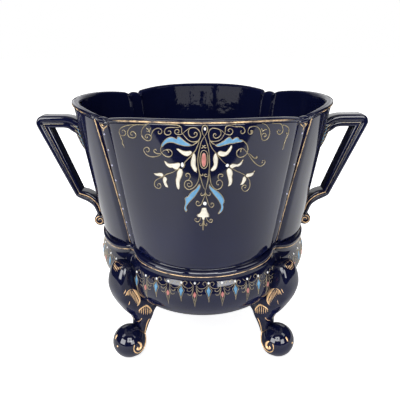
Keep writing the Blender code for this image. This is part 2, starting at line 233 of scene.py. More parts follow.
def meshObject(name, mesh, material):
    data = bpy.data.meshes.new(name)
    mesh.to_mesh(data)
    mesh.free()
    data.materials.append(material)
    return makeObject(name, data)


def addPiece(name, mesh, material, levels=0):
    piece = meshObject(name, mesh, material)
    piece.data.shade_smooth()
    if levels:
        smoother = piece.modifiers.new("smoother", "SUBSURF")
        smoother.levels = levels
        smoother.render_levels = levels
    return settle(piece)


def settle(piece):
    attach(piece, "root")
    return piece


# the glaze, its gilding and its enamels
# the inside look keeps the glaze's colour; its ripple is for the runs, and its shine cut to a tenth is painted shade
# that dims reflections inside
glazeLook = {"deep": (0.0030, 0.0040, 0.020, 1), "thin": (0.0045, 0.0065, 0.034, 1), "depthScale": 14.0,
             "roughness": 0.06, "index": 1.52, "waveHeight": 0.002,
             "outside": {"scale": 55.0, "ripple": 0.012, "shine": 0.5},
             "inside": {"scale": 38.0, "ripple": 0.28, "shine": 0.05}}
giltLook = {"bright": (0.80, 0.56, 0.31, 1), "leaf": (0.95, 0.62, 0.32, 1), "dull": (0.34, 0.28, 0.165, 1),
            "worn": (0.10, 0.075, 0.07, 1), "metallic": 0.35, "roughness": 0.40, "wearScale": 150.0,
            "rubScale": 420.0, "rub": 0.15, "rubHeight": 0.0004}
enamelLook = {"white": (0.72, 0.68, 0.58, 1), "blue": (0.10, 0.29, 0.50, 1), "pink": (0.52, 0.18, 0.16, 1),
              "bead": (0.88, 0.88, 0.86, 1), "lilac": (0.48, 0.48, 0.64, 1)}
enamelFinish = {"roughness": 0.28, "scale": 320.0, "pale": 1.12, "deep": 0.84}


def cloudGroup():                       # an uneven mask, for wear and for thin and thick glaze
    group = bpy.data.node_groups.new("cloudMask", "ShaderNodeTree")
    for name, value in (("Scale", 60.0), ("Low", 0.4), ("High", 0.6)):
        socket = group.interface.new_socket(name, in_out="INPUT", socket_type="NodeSocketFloat")
        socket.default_value = value
    group.interface.new_socket("Mask", in_out="OUTPUT", socket_type="NodeSocketFloat")
    nodes, links = group.nodes, group.links
    inside = nodes.new("NodeGroupInput")
    outside = nodes.new("NodeGroupOutput")
    place = nodes.new("ShaderNodeTexCoord")
    noise = nodes.new("ShaderNodeTexNoise")
    noise.inputs["Detail"].default_value = 4.0
    band = nodes.new("ShaderNodeMapRange")
    links.new(place.outputs["Object"], noise.inputs["Vector"])
    links.new(inside.outputs["Scale"], noise.inputs["Scale"])
    links.new(noise.outputs["Fac"], band.inputs["Value"])
    links.new(inside.outputs["Low"], band.inputs["From Min"])
    links.new(inside.outputs["High"], band.inputs["From Max"])
    links.new(band.outputs["Result"], outside.inputs["Mask"])
    return group


cloudMask = cloudGroup()


def setSockets(node, values):
    for name, value in values.items():
        node.inputs[name].default_value = value


def addCloud(nodes, scale, low, high):
    cloud = nodes.new("ShaderNodeGroup")
    cloud.node_tree = cloudMask
    setSockets(cloud, {"Scale": scale, "Low": low, "High": high})
    return cloud


def twoColour(nodes, links, mask, first, second):
    blend = nodes.new("ShaderNodeMix")
    blend.data_type = "RGBA"
    setSockets(blend, {"A": first, "B": second})
    links.new(mask, blend.inputs["Factor"])
    return blend.outputs["Result"]


def newMaterial(name, roughness, metallic=0.0):
    material = bpy.data.materials.new(name)
    material.use_nodes = True
    shader = material.node_tree.nodes["Principled BSDF"]
    setSockets(shader, {"Roughness": roughness, "Metallic": metallic})
    return material, material.node_tree.nodes, material.node_tree.links, shader


def addBump(nodes, links, shader, mask, strength, height):
    bump = nodes.new("ShaderNodeBump")
    setSockets(bump, {"Strength": strength, "Distance": height})
    links.new(mask, bump.inputs["Height"])
    links.new(bump.outputs["Normal"], shader.inputs["Normal"])


def glazeMaterial(name, finish):
    material, nodes, links, shader = newMaterial(name, glazeLook["roughness"])
    setSockets(shader, {"IOR": glazeLook["index"], "Specular IOR Level": finish["shine"]})
    depth = addCloud(nodes, glazeLook["depthScale"], 0.35, 0.75)
    links.new(twoColour(nodes, links, depth.outputs["Mask"], glazeLook["deep"], glazeLook["thin"]),
              shader.inputs["Base Color"])
    wave = addCloud(nodes, finish["scale"], 0.2, 0.8)
    addBump(nodes, links, shader, wave.outputs["Mask"], finish["ripple"], glazeLook["waveHeight"])
    return material


def giltMaterial(name, colour, wearLow, wearHigh):      # worn more where the two wear limits are lower
    material, nodes, links, shader = newMaterial(name, giltLook["roughness"], metallic=giltLook["metallic"])
    wear = addCloud(nodes, giltLook["wearScale"], wearLow, wearHigh)
    links.new(twoColour(nodes, links, wear.outputs["Mask"], giltLook[colour], giltLook["worn"]),
              shader.inputs["Base Color"])
    rub = addCloud(nodes, giltLook["rubScale"], 0.3, 0.7)
    addBump(nodes, links, shader, rub.outputs["Mask"], giltLook["rub"], giltLook["rubHeight"])
    return material


def enamelMaterial(name, colour):
    material, nodes, links, shader = newMaterial(name, enamelFinish["roughness"])
    shade = addCloud(nodes, enamelFinish["scale"], 0.30, 0.72)
    pale = [min(1.0, value * enamelFinish["pale"] + 0.02) for value in colour[:3]] + [1]
    deep = [value * enamelFinish["deep"] for value in colour[:3]] + [1]
    links.new(twoColour(nodes, links, shade.outputs["Mask"], deep, pale), shader.inputs["Base Color"])
    return material


glaze = glazeMaterial("cobaltGlaze", glazeLook["outside"])
insideGlaze = glazeMaterial("runsAndShadeGlaze", glazeLook["inside"])
rimGold = giltMaterial("rimGilding", "bright", 0.42, 0.64)
ringGold = giltMaterial("ringGilding", "bright", 0.46, 0.68)
leafGold = giltMaterial("leafGilding", "leaf", 0.58, 0.80)
panelGold = giltMaterial("panelGilding", "dull", 0.50, 0.80)
enamels = {name: enamelMaterial(name + "Enamel", colour) for name, colour in enamelLook.items()}
print("materials made")


def buildPot():
    mesh = loft([levelPoints(level) for level in outerLevels() + innerLevels()])
    # faces that look inward and the inside floor take the inside glaze: rippled for the runs, and less shiny as
    # painted shade on their reflections
    for face in mesh.faces:             # the glaze ran more on faces that look inward and on the inside floor
        middle = face.calc_center_median()
        onFloor = face.normal.z > 0.9 and middle.z < potShape["insideFloorBelow"]
        if face.normal.xy.dot(middle.xy) < -1e-6 or onFloor:
            face.material_index = 1
    pot = addPiece("glazedPot", mesh, glaze)
    pot.data.materials.append(insideGlaze)
    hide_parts("cachepot")


buildPot()
print("pot made")


# curves through a few points, with as many steps between them
def smoothPath(keys, steps):
    points = []
    padded = [keys[0] * 2 - keys[1]] + list(keys) + [keys[-1] * 2 - keys[-2]]
    for before, start, end, after in zip(padded, padded[1:], padded[2:], padded[3:]):
        for step in range(steps):
            t = step / steps
            points.append(0.5 * (start * 2 + (end - before) * t
                                 + (before * 2 - start * 5 + end * 4 - after) * t ** 2
                                 + (start * 3 - before - end * 3 + after) * t ** 3))
    points.append(keys[-1].copy())
    return points


def wholeSection(half):                 # half a section and its mirror image, once round
    return half + [(across, -width) for across, width in reversed(half)]


def makeRoll(radius, width, segments, rounding, steps):
    mesh = bmesh.new()
    bmesh.ops.create_cone(mesh, cap_ends=True, segments=segments, radius1=radius, radius2=radius, depth=width)
    rims = [edge for edge in mesh.edges if edge.calc_face_angle(0) > 1]
    bmesh.ops.bevel(mesh, geom=rims, offset=radius * rounding, segments=steps, profile=0.5,
                    affect="EDGES", material=-1)
    return mesh


def roundCorner(before, corner, after, radius, steps):
    into = (corner - before).normalized()
    away = (after - corner).normalized()
    setback = radius * math.tan(into.angle(away) / 2)
    start = corner - into * setback
    end = corner + away * setback
    return [start * (1 - t) ** 2 + corner * 2 * t * (1 - t) + end * t ** 2
            for t in (step / steps for step in range(steps + 1))]


handleShape = {"drop": 0.0168, "reach": 0.0345, "bar": 0.0118, "slimBar": 0.0078, "lowerArm": 0.0096,
               "thickness": 0.0170, "cornerRounding": 0.0022, "rootLength": 0.0165, "rootDip": 0.0085,
               "elbowDrop": 0.0745, "elbowOut": 0.0200, "leafLength": 0.0300, "leafDepth": 0.0102,
               "leafTip": 0.0016, "leafThinning": 0.64, "leafTurn": 118, "leafSink": 0.002,
               "leafFlute": 0.0006, "leafFlutes": 5.5, "leafSteps": 14, "leafTurnSteps": 23,
               "curlRadius": 0.0061, "curlHeight": 0.1164, "curlOut": 0.0050, "curlWidth": 0.88,
               "curlRounding": 0.34, "curlDish": 0.22, "curlDishDepth": 0.0006}


def wallRadius(height):
    return wallLevel(height)["radius"]


def handleLine():                       # middle line of the bar: x, height, depth of the bar
    shape = handleShape
    top = potShape["height"] - shape["drop"] - shape["bar"] / 2
    cornerX = potShape["rimRadius"] + shape["reach"]
    elbowZ = top - shape["elbowDrop"]
    elbowX = wallRadius(elbowZ) + shape["elbowOut"]
    rootX = wallRadius(top)
    root = [Vector((rootX - potShape["wall"] * 0.5, top - shape["rootDip"], shape["bar"] * 1.15)),
            Vector((rootX + shape["rootLength"] * 0.30, top - shape["rootDip"] * 0.55, shape["bar"] * 1.08)),
            Vector((rootX + shape["rootLength"] * 0.62, top - shape["rootDip"] * 0.16, shape["bar"])),
            Vector((rootX + shape["rootLength"], top, shape["bar"]))]
    corner = Vector((cornerX, top, shape["bar"]))
    elbow = Vector((elbowX, elbowZ, shape["slimBar"]))
    endZ = shape["curlHeight"] + shape["curlRadius"] * 1.2
    end = Vector((wallRadius(endZ) + shape["curlOut"] - 0.0022, endZ, shape["curlRadius"] * 1.1))
    drop = elbowZ - endZ
    arm = [Vector((elbowX - 0.0045, elbowZ - drop * 0.08, shape["lowerArm"])),
           Vector((mix(end.x, elbowX, 0.50), elbowZ - drop * 0.20, shape["lowerArm"])),
           Vector((mix(end.x, elbowX, 0.17), elbowZ - drop * 0.50, shape["lowerArm"] * 0.86)), end]
    line = smoothPath(root, 4)
    line += roundCorner(root[-1], corner, elbow, shape["cornerRounding"], 6)
    line += [corner.lerp(elbow, step / 8) for step in range(1, 8)]
    line += roundCorner(corner, elbow, arm[0], shape["cornerRounding"], 5)
    line += smoothPath(arm, 4)[1:]
    return line


def barFrames(line):              # point, direction across the bar and depth at each step of the line
    frames = []
    for index, point in enumerate(line):
        ahead = line[min(index + 1, len(line) - 1)] - line[min(index, len(line) - 2)]
        behind = line[max(index, 1)] - line[max(index - 1, 0)]
        along = (ahead.xy.normalized() + behind.xy.normalized()).normalized()
        mitre = 1 / along.dot(ahead.xy.normalized())
        frames.append((point, Vector((-along.y, along.x)) * mitre, mix(1.0, 0.86, index / (len(line) - 1))))
    return frames


def barPoint(frameAt, across, width, side):
    point, outward, slim = frameAt
    shift = (0.5 - across) * point.z
    return Vector((side * (point.x + outward.x * shift), width * handleShape["thickness"] / 2 * slim,
                   point.y + outward.y * shift))


barMoulding = [(0.0, 0.45), (0.02, 0.80), (0.08, 0.95), (0.20, 1.0), (0.38, 1.0), (0.45, 0.96), (0.49, 0.86),
               (0.54, 0.84), (0.58, 0.90), (0.64, 0.95), (0.80, 0.95), (0.92, 0.92), (0.98, 0.84), (1.0, 0.60)]


def buildHandle(side):
    name = "handleRight" if side > 0 else "handleLeft"
    section = wholeSection(barMoulding)
    mesh = loft([[barPoint(at, across, width, side) for across, width in section]
                 for at in barFrames(handleLine())])
    addPiece(name + "Bar", mesh, glaze, levels=1)
    buildHandleLeaf(name, side)
    buildHandleCurl(name, side)


def leafSize(share):                    # depth off the wall and half width of the handle's leaf
    shape = handleShape
    depth = max(shape["leafTip"], shape["leafDepth"] * (1 - shape["leafThinning"] * share)
                * math.sqrt(max(0.0, 1 - share ** 8)))
    return depth, mix(shape["thickness"] / 2, shape["leafTip"], share ** 4)


def leafTop():
    return potShape["height"] - handleShape["drop"] - handleShape["bar"] * 0.7


def buildHandleLeaf(name, side):
    shape = handleShape
    outlines = []
    for step in range(shape["leafSteps"] + 1):
        share = step / shape["leafSteps"]
        height = leafTop() - shape["leafLength"] * share
        depth, half = leafSize(share)
        points = []
        for turnStep in range(shape["leafTurnSteps"] + 1):
            turn = math.radians(mix(-shape["leafTurn"], shape["leafTurn"], turnStep / shape["leafTurnSteps"]))
            flute = shape["leafFlute"] * math.cos(turn * shape["leafFlutes"]) * min(1.0, (1 - share) * 3)
            front = 1 if abs(turn) < math.pi / 2 else -0.4
            outward = depth * (0.28 + 0.72 * abs(math.cos(turn)) ** 0.55 * front)
            points.append(Vector((side * (wallRadius(height) + outward + flute),
                                  half * math.sin(turn) / max(0.9, abs(math.sin(turn)) ** 0.2), height)))
        for end in (0.7, -0.7):         # closed inside the wall
            points.append(Vector((side * (wallRadius(height) - shape["leafSink"]), half * end, height)))
        outlines.append(points)
    addPiece(name + "Leaf", loft(outlines), glaze, levels=1)


def buildHandleCurl(name, side):
    shape = handleShape
    mesh = makeRoll(shape["curlRadius"], shape["thickness"] * shape["curlWidth"], 28, shape["curlRounding"], 4)
    ends = [face for face in mesh.faces if abs(face.normal.z) > 0.9 and len(face.verts) > 6]
    bmesh.ops.inset_region(mesh, faces=ends, thickness=shape["curlRadius"] * shape["curlDish"],
                           depth=-shape["curlDishDepth"])
    place = Matrix.Translation((side * (wallRadius(shape["curlHeight"]) + shape["curlOut"]), 0,
                                shape["curlHeight"]))
    bmesh.ops.transform(mesh, matrix=place @ Matrix.Rotation(math.pi / 2, 4, "X"), verts=mesh.verts)
    addPiece(name + "Curl", mesh, glaze)


for side in (1, -1):
    buildHandle(side)
print("handles made")


legShape = {"kneeRadius": 0.1178, "kneeWidth": 0.0240, "ankleRadius": 0.0958, "ankleHeight": 0.0300,
            "ankleDepth": 0.0130, "ankleWidth": 0.0160, "ballRadius": 0.0163, "ballSpread": 0.1041,
            "ballFlat": 0.0040, "voluteRadius": 0.0095, "voluteWidth": 0.0246, "voluteRounding": 0.22,
            "voluteInset": 0.0014, "voluteRise": 0.78}
# how far back and how wide the leg's section is, as shares of its depth and half width
legSection = [(0.0, 0.22), (0.02, 0.50), (0.08, 0.80), (0.17, 0.95), (0.30, 1.0), (0.46, 1.0), (0.62, 1.0),
              (0.78, 0.96), (0.92, 0.86), (1.0, 0.60)]


def bulbCorner(height):
    shape = potShape
    sine = max(-1.0, min(0.98, (height - shape["bulbHeight"]) / shape["bulbDepth"]))
    cosine = math.sqrt(1 - sine ** 2)
    radius = shape["bulbFlat"] + (shape["bulbRadius"] - shape["bulbFlat"]) * cosine
    return radius * (1 - shape["bulbLobing"] * cosine ** 0.8)


def legKeys():                          # front and back of the leg in its own upright plane, and half width
    leg = legShape
    under = potShape["bulbHeight"] - potShape["bulbDepth"]
    knee = potShape["bulbHeight"]
    shoulder = knee + 0.0180
    inside = potShape["wall"] * 0.55

    def front(share):
        return mix(under + 0.006, shoulder, share)

    keys = [(leg["kneeRadius"] - 0.0170, shoulder - 0.0006, shoulder - 0.0050, 0.56),
            (leg["kneeRadius"] - 0.0090, shoulder, shoulder - 0.0100, 0.82),
            (leg["kneeRadius"] - 0.0026, front(0.82), shoulder - 0.0180, 0.97),
            (leg["kneeRadius"], front(0.60), knee - 0.0080, 1.0),
            (leg["kneeRadius"] - 0.0012, front(0.42), knee - 0.0170, 0.86),
            (leg["kneeRadius"] - 0.0046, front(0.26), knee - 0.0245, 0.92),
            (leg["kneeRadius"] - 0.0094, front(0.08), knee - 0.0305, 0.86),
            (leg["kneeRadius"] - 0.0138, under + 0.0030, knee - 0.0355, 0.70),
            (leg["kneeRadius"] - 0.0176, under - 0.0020, under + 0.0030, 0.76)]
    stations = []
    for radius, frontHeight, backHeight, width in keys:
        back = bulbCorner(max(backHeight, under + 0.0030)) - inside
        stations.append((Vector((radius, frontHeight)), Vector((back, backHeight)),
                         width * leg["kneeWidth"] / 2))
    shankTop = under - 0.0065
    stations.append((Vector((leg["ankleRadius"] + 0.0022, shankTop)),
                     Vector((leg["ankleRadius"] - 0.0212, under - 0.0045)), leg["ankleWidth"] * 0.56))
    for share, depth in ((0.45, 0.0180), (1.0, leg["ankleDepth"]), (1.5, 0.0098)):
        height = shankTop - (shankTop - leg["ankleHeight"]) * share
        stations.append((Vector((leg["ankleRadius"] + 0.0012 * (share - 1) ** 2, height)),
                         Vector((leg["ankleRadius"] - depth, height - 0.0015 * share)),
                         leg["ankleWidth"] / 2))
    stations.append((Vector((leg["ballSpread"] - 0.0040, leg["ballRadius"] * 1.05)),
                     Vector((leg["ballSpread"] - leg["ballRadius"] * 0.88, leg["ballRadius"] * 0.80)),
                     leg["ankleWidth"] * 0.46))
    return stations


def legTurn(quarter):
    return Matrix.Rotation(math.radians(45 + 90 * quarter), 3, "Z")


def buildLeg(quarter):
    keys = legKeys()
    fronts = smoothPath([key[0] for key in keys], 4)
    backs = smoothPath([key[1] for key in keys], 4)
    halves = smoothPath([Vector((key[2], 0)) for key in keys], 4)
    turn = legTurn(quarter)
    outlines = []
    for front, back, half in zip(fronts, backs, halves):
        outline = []
        for depth, width in wholeSection(legSection):
            point = front.lerp(back, depth)
            outline.append(turn @ Vector((point.x, width * half.x, point.y)))
        outlines.append(outline)
    addPiece("legShank%d" % quarter, loft(outlines), glaze, levels=1)
    buildBall(quarter, turn)


def buildBall(quarter, turn):
    leg = legShape
    sink = leg["ballRadius"] - math.sqrt(leg["ballRadius"] ** 2 - leg["ballFlat"] ** 2)
    mesh = bmesh.new()
    bmesh.ops.create_uvsphere(mesh, u_segments=40, v_segments=24, radius=leg["ballRadius"])
    bmesh.ops.translate(mesh, verts=mesh.verts, vec=(leg["ballSpread"], 0, leg["ballRadius"] - sink))
    cut = bmesh.ops.bisect_plane(mesh, geom=mesh.verts[:] + mesh.edges[:] + mesh.faces[:],
                                 plane_co=(0, 0, 0), plane_no=(0, 0, -1), clear_outer=True)["geom_cut"]
    bmesh.ops.contextual_create(mesh, geom=[item for item in cut if isinstance(item, bmesh.types.BMEdge)])
    bmesh.ops.transform(mesh, matrix=turn.to_4x4(), verts=mesh.verts)
    addPiece("ballFoot%d" % quarter, mesh, glaze)
    roll = makeRoll(leg["voluteRadius"], leg["voluteWidth"], 36, leg["voluteRounding"], 3)
    place = Matrix.Translation((leg["ballSpread"] - leg["voluteInset"], 0, leg["ballRadius"] * leg["voluteRise"]))
    bmesh.ops.transform(roll, matrix=turn.to_4x4() @ place @ Matrix.Rotation(math.pi / 2, 4, "X"),
                        verts=roll.verts)
    addPiece("footVolute%d" % quarter, roll, glaze)


for quarter in range(4):
    buildLeg(quarter)
print("legs made")


# raised strokes, enamel fields and dots, each laid on a surface by a place(x, y, proud) function, x and y in mm
relief = {"stroke": 0.00036, "sink": 0.00012, "outline": 0.00022, "fieldRise": 0.00075, "fieldUnder": -0.0002,
          "dotRise": 0.00075, "steps": 3, "stemWidth": 1.9, "blueOutline": 1.35, "otherOutline": 0.8}


def addStrokes(name, strokes, material, closed=False):  # each stroke is its points and their radii
    data = bpy.data.curves.new(name, "CURVE")
    data.dimensions = "3D"
    data.bevel_depth = 1.0
    data.bevel_resolution = 1
    data.use_fill_caps = True
    for points, radii in strokes:
        spline = data.splines.new("POLY")
        spline.points.add(len(points) - 1)
        spline.use_cyclic_u = closed
        spline.use_smooth = True
        for knot, point, radius in zip(spline.points, points, radii):
            knot.co = (*point, 1.0)
            knot.radius = radius
    data.materials.append(material)
    return settle(makeObject(name, data))


def layStroke(keys, place, radius, tip=0.45):
    flat = smoothPath([Vector(key) for key in keys], relief["steps"])
    last = len(flat) - 1
    radii = [radius * mix(tip, 1.0, min(1.0, 5 * min(index, last - index) / last)) for index in range(last + 1)]
    return [place(point.x, point.y, radius * 0.35 - relief["sink"]) for point in flat], radii


def edgeAt(keys):                       # a point at any share of an edge's length
    flat = smoothPath([Vector(key) for key in keys], 4)
    lengths = [0.0]
    for start, end in zip(flat, flat[1:]):
        lengths.append(lengths[-1] + (end - start).length)

    def at(share):
        wanted = share * lengths[-1]
        for index in range(1, len(flat)):
            if wanted <= lengths[index] or index == len(flat) - 1:
                span = max(1e-9, lengths[index] - lengths[index - 1])
                part = min(1.0, max(0.0, (wanted - lengths[index - 1]) / span))
                return flat[index - 1].lerp(flat[index], part)
    return at


def addField(mesh, first, second, place, rise):     # a domed sheet and the flat one under it share their edge
    near, far = edgeAt(first), edgeAt(second)
    for side in (rise, relief["fieldUnder"]):
        made = bmesh.ops.create_grid(mesh, x_segments=26, y_segments=8, size=1.0)
        for vert in made["verts"]:
            along, across = (vert.co.x + 1) / 2, (vert.co.y + 1) / 2
            flat = near(along).lerp(far(along), across)
            dome = max(0.0, 4 * across * (1 - across)) ** 0.40 * min(1.0, 9 * min(along, 1 - along))
            vert.co = place(flat.x, flat.y, side * dome - relief["sink"] * 1.5)


def addOval(mesh, middle, right, up, out, halfX, halfY, rise):      # half sizes in mm, rise in metres
    for vert in bmesh.ops.create_uvsphere(mesh, u_segments=16, v_segments=10, radius=1.0)["verts"]:
        vert.co = (middle + right * (vert.co.x * halfX / 1000) + up * (vert.co.y * halfY / 1000)
                   + out * (vert.co.z * rise))


def addDot(mesh, x, y, halfX, halfY, place, rise):
    middle = place(x, y, 0.0)
    right = (place(x + 0.2, y, 0.0) - place(x - 0.2, y, 0.0)).normalized()
    up = (place(x, y + 0.2, 0.0) - place(x, y - 0.2, 0.0)).normalized()
    out = (place(x, y, 0.001) - middle).normalized()
    addOval(mesh, middle, right, up, out, halfX, halfY, rise)


def closeFields(mesh):
    bmesh.ops.remove_doubles(mesh, verts=mesh.verts[:], dist=2e-6)
    bmesh.ops.dissolve_degenerate(mesh, dist=1e-7, edges=mesh.edges[:])
    bmesh.ops.recalc_face_normals(mesh, faces=mesh.faces[:])
    return mesh


